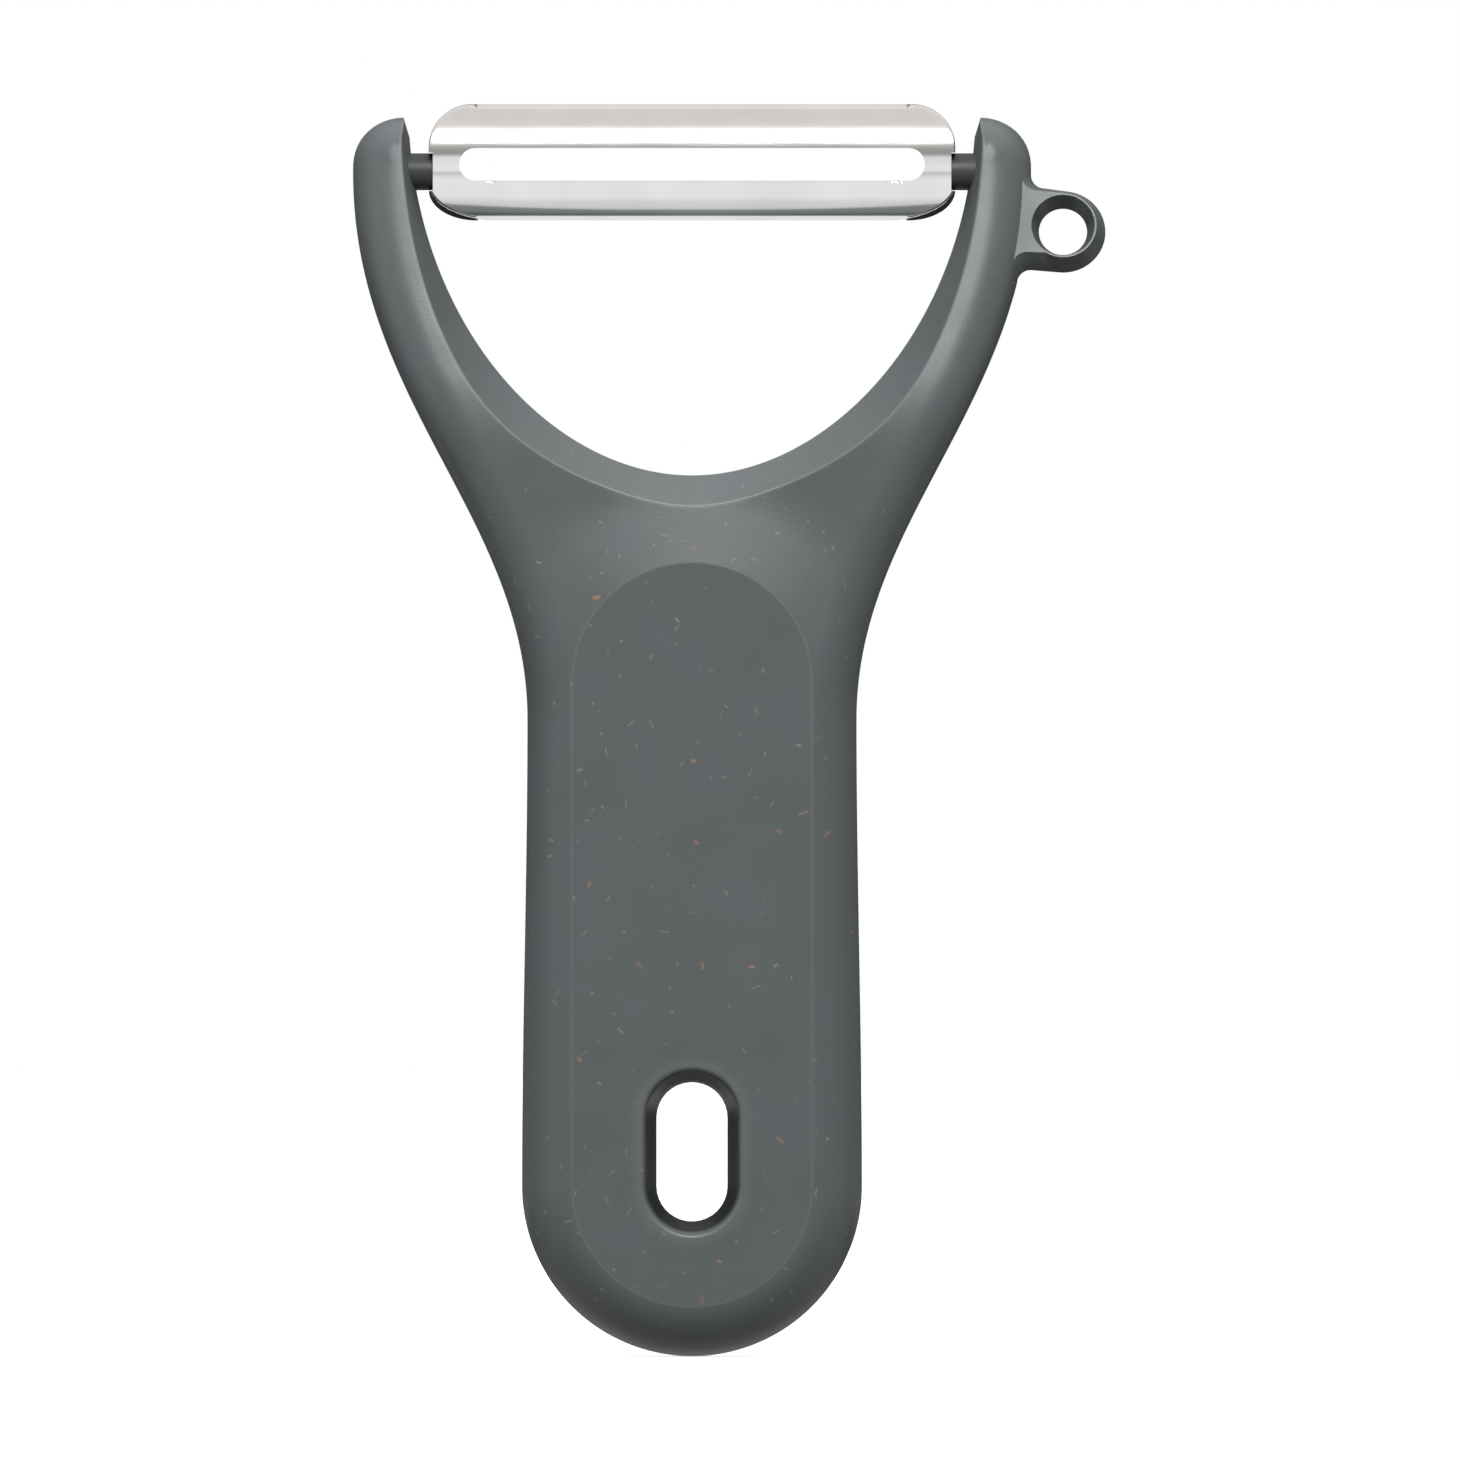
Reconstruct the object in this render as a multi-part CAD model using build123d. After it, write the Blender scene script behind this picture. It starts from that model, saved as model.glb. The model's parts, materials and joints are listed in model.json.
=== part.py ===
from build123d import *
import math
import os

# A Y-shaped vegetable peeler: a one-piece plastic handle with a hanging slot and an eye-remover ring,
# and a slotted steel blade whose two plastic end plugs swivel in the arm tips.
# Lengths are in millimetres. The origin is the middle of the hanging slot, on the grip's mid-plane.
# +X runs towards the ring, +Y towards the back and +Z up the handle to the blade.

# Handle, outline on its mid-plane
grip_end = 22.5            # from the middle of the hanging slot down to the grip's round end
pivot_height = 107.9       # up to the blade's swivel axis
tip_rise = 6.0             # from the swivel axis up to the arm tips
grip_width = 37.4
waist_width = 36.2
waist_height = 47.5        # where the grip is narrowest
arm_width = 6.25           # across one arm at its tip
tip_side = 5.5             # from an arm tip down its outer side, which is curved so far
grip_bend_share = 0.33     # of its side, which the grip keeps straight at both ends of its curve
flare_low_share = 0.37     # of the way from waist to axis, where the flare leaves the waist
flare_high_share = 0.578   # and where it has reached the arm
tip_curve_shares = [(1.0, 0.69), (0.43, 1.0)]    # of an arm tip's width, and of its curved side

# Handle, front and back faces
handle_depth = 13.0        # through the two flat panels
panel_margin = 5.5         # from the panel's edge to the grip's side
panel_length = 81.8
shoulder_angle = 12.0      # slope of the face just outside the panel, in degrees
shoulder_run = 6.5         # how far it keeps that slope
shoulder_radius = 25.0     # and how it levels out towards the arms
edge_round = 4.0           # of the outer edge
head_lean = 16.0           # of the arms, back from the grip, in degrees
lean_radius = 30.0         # of the bend where they start to lean, on the mid-plane

# Arch between the arms
arm_gap = 2.1              # from the end of the blade to the arm's inner ridge
arch_depth = 33.4          # from the swivel axis down to the arch's floor, on the mid-plane
bevel_floor = 3.5          # how far the bevel leans back at the arch's floor
bevel_tip = 0.9            # and at the arm tips
tip_chamfer = 0.7          # the ridge's cut-off corner at the tip, sideways
tip_chamfer_height = 2.2   # and upwards
ridge_curve_shares = [(0.475, 0.0), (0.947, 0.411)]    # of half the gap, and of the arch's height
bevel_curve_shares = [(0.432, 0.0), (0.963, 0.321)]

# Hanging slot
slot_width = 7.8           # on the mid-plane, where it is narrowest
slot_length = 15.3
slot_flare = 1.35          # how much each wall opens towards the face
slot_lip = 0.65            # rounding of the lip

# Eye-remover ring on the right arm
ring_reach = 3.5           # from the arm's outer side to the ring's centre
ring_drop = 6.65           # below the swivel axis
ring_radius = 4.68         # outside, on the mid-plane
ring_hole_radius = 2.65
rim_hole_radius = 3.5      # the hole at the rim
rim_wall = 0.35            # the thin edge that digs
ring_depth = 5.2           # from the front rim to the back rim
web_flare = 1.5            # how much the web spreads where it meets the arm
web_fall = 8.0             # slope of the web's upper side, down to the ring, in degrees
web_low_turns = [5.0, 32.0]      # from the ring's lowest point round to the web's lower side, in degrees,
web_low_falls = [5.0, 2.0]       # and that side's slope, on the mid-plane and at the rim

# Blade, a channel pressed from sheet
blade_length = 58.0
blade_width = 12.8         # across the channel, seen from the front
blade_lift = 1.05          # of the channel's middle above the swivel axis
blade_sheet = 0.55
blade_curve = 9.0          # outer radius of the channel
blade_crown = 2.75         # from the swivel axis to the front of the channel
blade_corner = 4.8         # of the upper corners, and of the plugs' too
low_corner_length = 7.5    # of the lower corners, along the blade
low_corner_height = 4.0
cutting_slot_margin = 3.35 # from the cutting slot's end to the end of the blade
cutting_slot_width = 3.6
cutting_slot_lift = 0.8    # of its middle above the swivel axis
ground_margin = 5.35       # from the ground outer edges' ends to the end of the blade
ground_width = 0.5         # of every ground edge, seen from the front
edge_land = 0.06           # thickness left at a ground edge
notch_depth = 0.45         # of the notch round the stub, in steel and plug

# Trunnions
journal_radius = 2.035
journal_clearance = 0.05   # in the bore, all round
journal_length = 3.0       # past the arm's ridge
bore_end_gap = 0.15        # between the journal's end and the bore's bottom
plug_length = 3.0          # inside the blade's channel
plug_foot_length = 5.4     # of its foot, along the channel's lower edge
plug_foot_height = 3.4
plug_depth = 3.2           # from the sheet back
plug_corner_length = 5.2   # of the plugs' lower corners, which show beyond the blade's
plug_corner_height = 3.3
plug_fit = 0.02            # between plug and sheet
notch_clearance = 0.1      # above and below the stub
stop_length = 1.2          # of the stop at the bottom of the bore
stop_angle = 60.0          # which the stop's wedge spans, in degrees
stop_core = 0.6            # radius round the axis which the wedge leaves free
swivel_limit = 40.0        # each way, in degrees
stop_spare = 2.0           # left between journal and stop at the limit, in degrees

# Cutting tools reach this much past what they cut
overrun = 1.0

half_gap = blade_length / 2 + arm_gap
arm_outer = half_gap + arm_width
half_depth = handle_depth / 2
tip_height = pivot_height + tip_rise
arch_floor = pivot_height - arch_depth
panel_radius = grip_width / 2 - panel_margin
panel_low = grip_width / 2 - grip_end
panel_high = panel_low + panel_length - 2 * panel_radius
half_turn = math.sqrt(0.5)
lean = math.radians(head_lean)


def at(x, z, y=0.0):
    """A point from its place across, its height and its depth."""
    return Vector(x, y, z)


def between(near, far, share):
    """The point at a share of the way from near to far, or beyond it."""
    return near + (far - near) * share


def both_sides(edges):
    """Edges of the right half, and their mirror images on the left."""
    return edges + [mirror(edge, about=Plane.YZ) for edge in edges]


def front_and_back(solid):
    """A solid that reaches forward from the mid-plane, with its mirror image behind."""
    return solid + mirror(solid, about=Plane.XZ)


# Handle: the outline, filled in between the arms

def side_curve():
    """The flare of the right side, from the waist to the arm."""
    flare = pivot_height - waist_height
    return Bezier(
        at(waist_width / 2, waist_height),
        at(waist_width / 2, waist_height + flare * flare_low_share),
        at(arm_outer, waist_height + flare * flare_high_share),
        at(arm_outer, pivot_height),
    )


def side_at(height):
    """How far the handle's side is from its middle at a height on the flare."""
    curve = side_curve()
    low, high = 0.0, 1.0
    while high - low > 1e-6:
        middle = (low + high) / 2
        if curve.position_at(middle).Z < height:
            low = middle
        else:
            high = middle
    return curve.position_at(low).X


def outline_face():
    grip_half = grip_width / 2
    bend = (waist_height - panel_low) * grip_bend_share
    tip_start = at(half_gap + tip_chamfer, tip_height - tip_side)
    tip_size = at(arm_outer, tip_height) - tip_start
    tip_curve = [tip_start + at(tip_size.X * x, tip_size.Z * z) for x, z in tip_curve_shares]
    right = [
        ThreePointArc(
            at(0, -grip_end),
            at(grip_half * half_turn, panel_low - grip_half * half_turn),
            at(grip_half, panel_low),
        ),
        Bezier(
            at(grip_half, panel_low),
            at(grip_half, panel_low + bend),
            at(waist_width / 2, waist_height - bend),
            at(waist_width / 2, waist_height),
        ),
        side_curve(),
        Line(at(arm_outer, pivot_height), at(arm_outer, tip_start.Z)),
        Bezier(at(arm_outer, tip_start.Z), *tip_curve, at(tip_start.X, tip_height)),
        Line(at(tip_start.X, tip_height), at(0, tip_height)),
    ]
    return make_face(both_sides(right))


# Handle: the crown of its two faces, level on the stadium-shaped panel, sloping away all round it
# and then levelling out

slope = math.radians(shoulder_angle)
knee = (panel_radius + shoulder_run, half_depth - shoulder_run * math.tan(slope))
level = (knee[0] + shoulder_radius * math.sin(slope), knee[1] - shoulder_radius * (1 - math.cos(slope)))
arm_half_depth = level[1]

# Handle: the lean. Above the crown's level rim the arms bend back and go on straight, so their own
# mid-plane is the grip's, turned about a line across the handle at lean_height.
bend_start = panel_high + level[0]
lean_height = bend_start + lean_radius * math.tan(lean / 2)
axis_back = (pivot_height - lean_height) * math.tan(lean)


def crown_solid():
    bend_middle = (
        knee[0] + shoulder_radius * (math.sin(slope) - math.sin(slope / 2)),
        level[1] + shoulder_radius * (1 - math.cos(slope / 2)),
    )
    far = arm_outer + tip_height
    face = [
        Line((0, half_depth), (panel_radius, half_depth)),
        Line((panel_radius, half_depth), knee),
        ThreePointArc(knee, bend_middle, level),
        Line(level, (far, level[1])),
    ]
    other_face = [mirror(line, about=Plane.XZ) for line in face]
    sides = [
        Line((far, level[1]), (far, -level[1])),
        Line((0, half_depth), (0, -half_depth)),
    ]
    half = make_face(face + other_face + sides)
    section = half + mirror(half, about=Plane.YZ)
    low_end = Plane(origin=at(0, panel_low))
    high_end = Plane(origin=at(0, panel_high))
    crown = extrude(low_end * section, amount=panel_high - panel_low)
    crown += revolve(high_end * half, axis=Axis(at(0, panel_high), (0, 1, 0)), revolution_arc=-180)
    crown += revolve(low_end * half, axis=Axis(at(0, panel_low), (0, 1, 0)), revolution_arc=180)
    crown = split(crown, bisect_by=Plane(origin=at(0, bend_start)), keep=Keep.BOTTOM)
    arm_section = Plane(origin=at(0, bend_start)) * Rectangle(2 * arm_outer + 2 * overrun, 2 * arm_half_depth)
    bend_axis = Axis(at(0, bend_start, lean_radius), (1, 0, 0))
    bend = revolve(arm_section, axis=bend_axis, revolution_arc=-head_lean)
    arms = extrude(arm_section, amount=tip_height - panel_high).rotate(bend_axis, -head_lean)
    return crown + bend + arms


def leaned(solid):
    """A solid made round the grip's mid-plane, turned to the arms' own."""
    return solid.rotate(Axis(at(0, lean_height), (1, 0, 0)), -head_lean)


def along_arms(height):
    """The height that becomes this one when it is leaned back on the mid-plane."""
    return lean_height + (height - lean_height) / math.cos(lean)


def leaned_height(height):
    return lean_height + (height - lean_height) * math.cos(lean)


def rounded_body():
    blank = extrude(outline_face(), amount=half_depth + axis_back * 2, dir=(0, 1, 0), both=True)
    body = blank & crown_solid()
    rim = ShapeList()
    for face in body.faces():
        if abs(face.normal_at().Y) < 0.5:
            rim += [edge for edge in face.edges() if abs(edge.tangent_at(0.5).Y) < 0.5]
    return fillet(rim, edge_round)


# Handle: the arch, bevelled from both faces to a ridge. The ridge lies in a plane that leaves the grip's
# mid-plane at the arch's floor and meets the swivel axis.

def arch_points(half_width, floor, curve_shares):
    """Control points of the right half of an arch, from its floor to the arm tip."""
    top = tip_height - tip_chamfer_height
    points = [at(0, floor)]
    points += [at(half_width * across, between(floor, top, up)) for across, up in curve_shares]
    points += [at(half_width, top), at(half_gap + tip_chamfer, tip_height)]
    return [point + at(0, 0, ridge_depth(point.Z)) for point in points]


def ridge_depth(height):
    return (height - arch_floor) * axis_back / arch_depth


def arch_face(points):
    *curve, shoulder, tip = points
    above = tip + at(0, overrun, ridge_depth(overrun) - ridge_depth(0))
    right = [
        Bezier(*curve, shoulder),
        Line(shoulder, tip),
        Line(tip, above),
        Line(above, at(0, above.Z, above.Y)),
    ]
    return make_face(both_sides(right))


def arch_cut():
    ridge = arch_points(half_gap, arch_floor, ridge_curve_shares)
    bevel = arch_points(half_gap + bevel_tip, arch_floor - bevel_floor, bevel_curve_shares)
    reach = half_depth + axis_back
    cut = Part()
    for depth in (-reach, reach):
        outer = [between(a, b, reach / arm_half_depth) + at(0, 0, depth) for a, b in zip(ridge, bevel)]
        cut += loft([arch_face(ridge), arch_face(outer)], ruled=True)
    return cut


# Handle: the hanging slot, narrowest on the mid-plane

def slot_section(depth):
    opening = 2 * slot_flare * depth / half_depth
    place = Plane(origin=at(0, 0, -depth), x_dir=(0, 0, 1), z_dir=(0, -1, 0))
    return place * SlotOverall(slot_length + opening, slot_width + opening)


def slot_cut():
    return front_and_back(loft([slot_section(0), slot_section(half_depth + overrun)], ruled=True))


def slot_lips(solid):
    lips = ShapeList()
    for edge in solid.edges():
        middle = edge.center()
        on_panel = abs(abs(middle.Y) - half_depth) < slot_lip / 10
        inside = abs(middle.Z) < slot_length and abs(middle.X) < slot_width
        if on_panel and inside:
            lips.append(edge)
    return lips


# Handle: the eye-remover ring and its web

ring_middle = at(arm_outer + ring_reach, along_arms(pivot_height - ring_drop))
rim_middle = ring_middle + at(0, 0, -ring_depth / 2)
rim_radius = rim_hole_radius + rim_wall


def disc(middle, radius):
    return Plane(origin=middle, x_dir=(1, 0, 0), z_dir=(0, -1, 0)) * Circle(radius)


def ring_solid():
    on_plane = disc(ring_middle, ring_radius)
    at_rim = disc(rim_middle, rim_radius)
    return front_and_back(loft([on_plane, at_rim], ruled=True))


def ring_cut():
    share = 1 + overrun / ring_depth
    on_plane = disc(ring_middle, ring_hole_radius)
    far_middle = between(ring_middle, rim_middle, share)
    past_rim = disc(far_middle, between(ring_hole_radius, rim_hole_radius, share))
    return front_and_back(loft([on_plane, past_rim], ruled=True))


def web_section(middle, radius, low_turn, low_fall):
    """The web between arm and ring, which flares where it meets the arm."""
    low_turn, low_fall, high_turn = (math.radians(angle) for angle in (low_turn, low_fall, web_fall))
    low_end = middle - at(radius * math.sin(low_turn), radius * math.cos(low_turn))
    high_end = middle + at(radius * math.sin(high_turn), radius * math.cos(high_turn))
    low = low_end.Z + (low_end.X - arm_outer) * math.tan(low_fall)
    high = high_end.Z + (high_end.X - arm_outer - web_flare) * math.tan(high_turn)
    low_side = side_at(leaned_height(low - web_flare))
    high_side = side_at(leaned_height(high + web_flare))
    inside = low_side - arm_width / 2
    flare = web_flare * (1 - half_turn)
    depth = middle.Y
    corners = [
        at(inside, low - web_flare, depth),
        at(low_side, low - web_flare, depth),
        at(low_side + web_flare, low, depth),
        low_end,
        middle,
        high_end,
        at(high_side + web_flare, high, depth),
        at(high_side, high + web_flare, depth),
        at(inside, high + web_flare, depth),
    ]
    edges = [
        Line(corners[0], corners[1]),
        ThreePointArc(corners[1], at(low_side + flare, low - flare, depth), corners[2]),
        Line(corners[2], corners[3]),
        Line(corners[3], corners[4]),
        Line(corners[4], corners[5]),
        Line(corners[5], corners[6]),
        ThreePointArc(corners[6], at(high_side + flare, high + flare, depth), corners[7]),
        Line(corners[7], corners[8]),
        Line(corners[8], corners[0]),
    ]
    return make_face(edges)


def web_solid():
    on_plane = web_section(ring_middle, ring_radius, web_low_turns[0], web_low_falls[0])
    at_rim = web_section(rim_middle, rim_radius, web_low_turns[1], web_low_falls[1])
    return front_and_back(loft([on_plane, at_rim], ruled=True))


# Swivel: a journal on each plug turns in a blind bore, and a wedge at the bore's bottom stops it

bore_radius = journal_radius + journal_clearance
journal_end = half_gap + journal_length
bore_bottom = journal_end + bore_end_gap
swivel_axis = Plane(origin=at(0, pivot_height), x_dir=(0, 1, 0), z_dir=(1, 0, 0))


def rod(radius, start, end):
    """A round bar on the swivel axis."""
    return extrude(swivel_axis.offset(start) * Circle(radius), amount=end - start)


def sector(angle, start, end):
    """A wedge below the swivel axis that spans an angle in degrees."""
    reach = 2 * bore_radius
    turns = [math.radians(angle) * share for share in (-0.5, -0.25, 0, 0.25, 0.5)]
    rim = [(reach * math.sin(turn), -reach * math.cos(turn)) for turn in turns]
    shape = make_face(Polyline((0, 0), *rim, close=True))
    return extrude(swivel_axis.offset(start) * shape, amount=end - start)


def bore_cut():
    stop_start = bore_bottom - stop_length
    stop = sector(stop_angle, stop_start, bore_bottom) - rod(stop_core, stop_start, bore_bottom)
    return rod(bore_radius, blade_length / 2, bore_bottom) - stop


def at_axis(solid):
    """A solid made on the grip's mid-plane, moved back to the swivel axis."""
    return Pos(0, axis_back, 0) * solid


def handle_solid():
    body = rounded_body() - arch_cut() - slot_cut()
    body = fillet(slot_lips(body), slot_lip)
    body = body + leaned(web_solid() + ring_solid()) - leaned(ring_cut())
    bore = at_axis(bore_cut())
    return body - bore - mirror(bore, about=Plane.YZ)


# Blade: a channel pressed from sheet, hollow towards the back, with ground edges

channel_middle = at(0, pivot_height + blade_lift, blade_curve - blade_crown)
channel_axis = Plane(origin=channel_middle, x_dir=(0, 1, 0), z_dir=(1, 0, 0))
inner_curve = blade_curve - blade_sheet
half_width = blade_width / 2
cutting_slot_length = blade_length - 2 * cutting_slot_margin
ground_length = blade_length - 2 * ground_margin
slot_rise = cutting_slot_lift - blade_lift    # of the slot's middle above the channel's


def tube(radius, start, end):
    """A round bar on the channel's own axis."""
    return extrude(channel_axis.offset(start) * Circle(radius), amount=end - start)


def sheet_point(radius, rise):
    """A point on a round surface of the channel, as its depth and rise from the channel's axis."""
    return Vector(-math.sqrt(radius**2 - rise**2), rise)


def end_outline(low_length, low_height):
    """The blade seen from the front, with round upper corners and elliptical lower ones."""
    half_length = blade_length / 2
    top = channel_middle.Z + half_width
    bottom = channel_middle.Z - half_width
    cut = blade_corner * (1 - half_turn)
    low_corner = EllipticalCenterArc(
        (half_length - low_length, bottom + low_height), low_length, low_height, start_angle=270
    )
    right = [
        Line(at(0, top), at(half_length - blade_corner, top)),
        ThreePointArc(
            at(half_length - blade_corner, top),
            at(half_length - cut, top - cut),
            at(half_length, top - blade_corner),
        ),
        Line(at(half_length, top - blade_corner), at(half_length, bottom + low_height)),
        Plane.XZ * low_corner,
        Line(at(half_length - low_length, bottom), at(0, bottom)),
    ]
    return make_face(both_sides(right))


def seen_from_front(face, back_depth):
    """Everything in front of a depth that lies within a face."""
    start = Pos(0, back_depth, 0) * face
    return extrude(start, amount=back_depth + blade_crown + overrun, dir=(0, -1, 0))


def ground_cut(far_rise, edge_rise, length):
    """Grinds the front of the sheet down to a thin edge, from one rise to another."""
    start = sheet_point(blade_curve, far_rise)
    edge = sheet_point(inner_curve, edge_rise) - Vector(edge_land, 0)
    before = between(start, edge, -1)
    after = between(start, edge, 2)
    wedge = make_face(Polyline(before, after, (before.X, after.Y), close=True))
    return extrude(channel_axis.offset(-length / 2) * wedge, amount=length)


def notch_cut():
    """Room round the stub at the right end of steel and plug."""
    height = 2 * (journal_radius + notch_clearance)
    depth = 2 * (blade_crown + plug_depth)
    notch = Box(2 * notch_depth, depth, height)
    return Pos(blade_length / 2, 0, pivot_height) * notch


def blade_solid():
    inner = tube(inner_curve, -blade_length, blade_length)
    channel = tube(blade_curve, -blade_length, blade_length) - inner
    outline = end_outline(low_corner_length, low_corner_height)
    channel = channel & seen_from_front(outline, channel_middle.Y)
    slot = SlotOverall(cutting_slot_length, cutting_slot_width)
    slot = Plane.XZ * Pos(0, pivot_height + cutting_slot_lift) * slot
    channel -= extrude(slot, amount=blade_crown + blade_curve, both=True)
    low_edge = slot_rise - cutting_slot_width / 2
    channel -= ground_cut(ground_width - half_width, -half_width, ground_length)
    channel -= ground_cut(half_width - ground_width, half_width, ground_length)
    channel -= ground_cut(low_edge - ground_width, low_edge, cutting_slot_length - cutting_slot_width)
    return channel - notch_cut() - mirror(notch_cut(), about=Plane.YZ)


# Trunnions: a plug in each end of the channel, with a stub that goes on as the journal

def trunnion_solid():
    """The right trunnion."""
    start = blade_length / 2 - plug_length
    foot_start = blade_length / 2 - plug_foot_length
    foot_top = channel_middle.Z - half_width + plug_foot_height
    back = plug_depth - blade_crown + blade_sheet
    plug = tube(inner_curve - plug_fit, foot_start, blade_length / 2)
    above_foot = Box(2 * (start - foot_start), 2 * blade_curve, 2 * blade_width)
    plug -= Pos(foot_start, channel_middle.Y, foot_top + blade_width) * above_foot
    outline = end_outline(plug_corner_length, plug_corner_height)
    plug = plug & seen_from_front(outline, back)
    plug = plug - notch_cut() + rod(journal_radius, blade_length / 2 - notch_depth, journal_end)
    open_angle = stop_angle + 2 * (swivel_limit + stop_spare)
    return plug - sector(open_angle, journal_end - stop_length, journal_end + overrun)


trunnion = at_axis(trunnion_solid())
parts = {
    "handle": handle_solid(),
    "blade": at_axis(blade_solid()),
    "trunnion_right": trunnion,
    "trunnion_left": mirror(trunnion, about=Plane.YZ),
}

os.makedirs("parts", exist_ok=True)
for name, shape in parts.items():
    export_step(shape, f"parts/{name}.step")
    print(name, round(shape.volume, 1), shape.bounding_box())
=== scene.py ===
import json
import math

import bmesh
import bpy
import numpy as np
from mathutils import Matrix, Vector
from mathutils.geometry import delaunay_2d_cdt
from mathutils.kdtree import KDTree


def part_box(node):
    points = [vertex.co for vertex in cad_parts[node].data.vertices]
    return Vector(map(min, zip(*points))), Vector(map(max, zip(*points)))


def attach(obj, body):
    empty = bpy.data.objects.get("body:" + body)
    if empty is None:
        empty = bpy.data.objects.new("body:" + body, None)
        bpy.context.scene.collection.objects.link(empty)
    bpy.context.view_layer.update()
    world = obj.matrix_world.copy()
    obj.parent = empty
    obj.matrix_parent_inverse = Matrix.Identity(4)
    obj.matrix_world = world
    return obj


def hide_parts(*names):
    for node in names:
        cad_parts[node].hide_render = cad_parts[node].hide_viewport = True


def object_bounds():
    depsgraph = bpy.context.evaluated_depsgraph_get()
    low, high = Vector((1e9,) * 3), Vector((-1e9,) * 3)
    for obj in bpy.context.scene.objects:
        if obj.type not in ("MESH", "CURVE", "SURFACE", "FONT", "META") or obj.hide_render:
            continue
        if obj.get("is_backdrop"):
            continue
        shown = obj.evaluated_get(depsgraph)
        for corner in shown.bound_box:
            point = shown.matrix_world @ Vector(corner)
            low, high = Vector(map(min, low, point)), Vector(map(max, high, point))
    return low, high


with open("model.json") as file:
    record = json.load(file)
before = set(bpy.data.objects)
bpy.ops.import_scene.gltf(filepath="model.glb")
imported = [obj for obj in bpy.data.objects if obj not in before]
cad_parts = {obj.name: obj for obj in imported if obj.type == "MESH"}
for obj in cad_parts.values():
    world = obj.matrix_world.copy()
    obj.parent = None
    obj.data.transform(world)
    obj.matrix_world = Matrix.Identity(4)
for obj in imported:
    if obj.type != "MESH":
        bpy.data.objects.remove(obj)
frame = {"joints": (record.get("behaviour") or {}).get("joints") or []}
cad_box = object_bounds()

# A Y-shaped vegetable peeler, seen from its front, which faces -Y. Sizes are in millimetres and become
# metres where a mesh is made. A place on a piece is its x and its height z, and "forward" is how far it
# stands in front of the grip's mid-plane.
mm = 0.001
swivel_back = frame["joints"][0]["pos_m"][1] / mm
swivel_height = frame["joints"][0]["pos_m"][2] / mm


# Handle outline. The handle is one moulding of grey plastic: a flat grip that flares into two arms.
# Its outer edge is fully rounded, from the line where the mould parts to the two faces.
handle_low, handle_high = (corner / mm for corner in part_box("handle"))
tip_height = handle_high.z
arm_outer = -handle_low.x
half_depth = -handle_low.y
grip_end = -handle_low.z
grip_half = 18.7
waist_half = 18.1
waist_height = 47.5
tip_side = 5.5             # from an arm tip down its outer side, which is curved so far
grip_bend_share = 0.33
flare_low_share = 0.37
flare_high_share = 0.578
tip_curve_shares = [(1.0, 0.69), (0.43, 1.0)]
outline_step = 0.7
edge_width = 4.8           # of the rounding, seen from the front
tip_edge_width = 2.9       # and over the arm tips
edge_fullness = 1.9        # 2 is an ellipse, and more is squarer
edge_rows = 12

grip_middle = grip_half - grip_end
arm_half = 31.1            # from the middle to an arm's inner ridge, beside the blade
tip_half = arm_half + 0.7  # and at the very tip


def bezier(controls, shares):
    """Points of a Bezier curve at these shares of its parameter."""
    points = np.repeat(np.array(controls, float)[:, None], len(shares), axis=1)
    share = np.asarray(shares, float)[:, None]
    while len(points) > 1:
        points = points[:-1] * (1 - share) + points[1:] * share
    return points[0]


def arc(middle, radius, start, end, count=60):
    """Points of a round arc between two angles in degrees, turning from +X to +Z."""
    turns = np.radians(np.linspace(start, end, count))
    return np.array(middle) + radius * np.stack([np.cos(turns), np.sin(turns)], 1)


def evenly(points, step):
    """The same line with its points about a step apart."""
    runs = np.linalg.norm(np.diff(points, axis=0), axis=1)
    along = np.concatenate([[0], np.cumsum(runs)])
    places = np.linspace(0, along[-1], round(along[-1] / step) + 1)
    return np.stack([np.interp(places, along, points[:, axis]) for axis in (0, 1)], 1)


def right_hand(points):
    """Unit vectors square to a line, to the right of its direction."""
    along = np.gradient(points, axis=0)
    along /= np.linalg.norm(along, axis=1, keepdims=True)
    return np.stack([along[:, 1], -along[:, 0]], 1)


flare = swivel_height - waist_height
flare_controls = [
    (waist_half, waist_height),
    (waist_half, waist_height + flare * flare_low_share),
    (arm_outer, waist_height + flare * flare_high_share),
    (arm_outer, swivel_height),
]
flare_side = bezier(flare_controls, np.linspace(0, 1, 200))
bend = (waist_height - grip_middle) * grip_bend_share
grip_controls = [
    (grip_half, grip_middle),
    (grip_half, grip_middle + bend),
    (waist_half, waist_height - bend),
    (waist_half, waist_height),
]
tip_start = np.array((tip_half, tip_height - tip_side))
tip_size = np.array((arm_outer - tip_half, tip_side))
tip_controls = [tip_start + tip_size * share for share in [(1, 0), *tip_curve_shares, (0, 1)]]
right_side = np.concatenate([
    arc((0, grip_middle), grip_half, -90, 0),
    bezier(grip_controls, np.linspace(0, 1, 120))[1:],
    flare_side[1:],
    bezier(tip_controls, np.linspace(0, 1, 60)),
])
left_side = (right_side * (-1, 1))[::-1]
silhouette = evenly(np.concatenate([left_side, right_side[1:]]), outline_step)
silhouette_out = right_hand(silhouette)
upward = np.clip(silhouette_out[:, 1:], 0, 1)
edge_widths = edge_width + (tip_edge_width - edge_width) * upward**2


def share_inside(places):
    """How far each place is inside the outer edge, as a share of the rounding's width there."""
    ends = np.roll(silhouette, -1, axis=0)
    share = np.full(len(places), np.inf)
    for start, end, width in zip(silhouette, ends, edge_widths[:, 0]):
        run = end - start
        along = np.clip((places - start) @ run / (run @ run), 0, 1)
        share = np.minimum(share, np.linalg.norm(places - start - along[:, None] * run, axis=1) / width)
    return share


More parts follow.
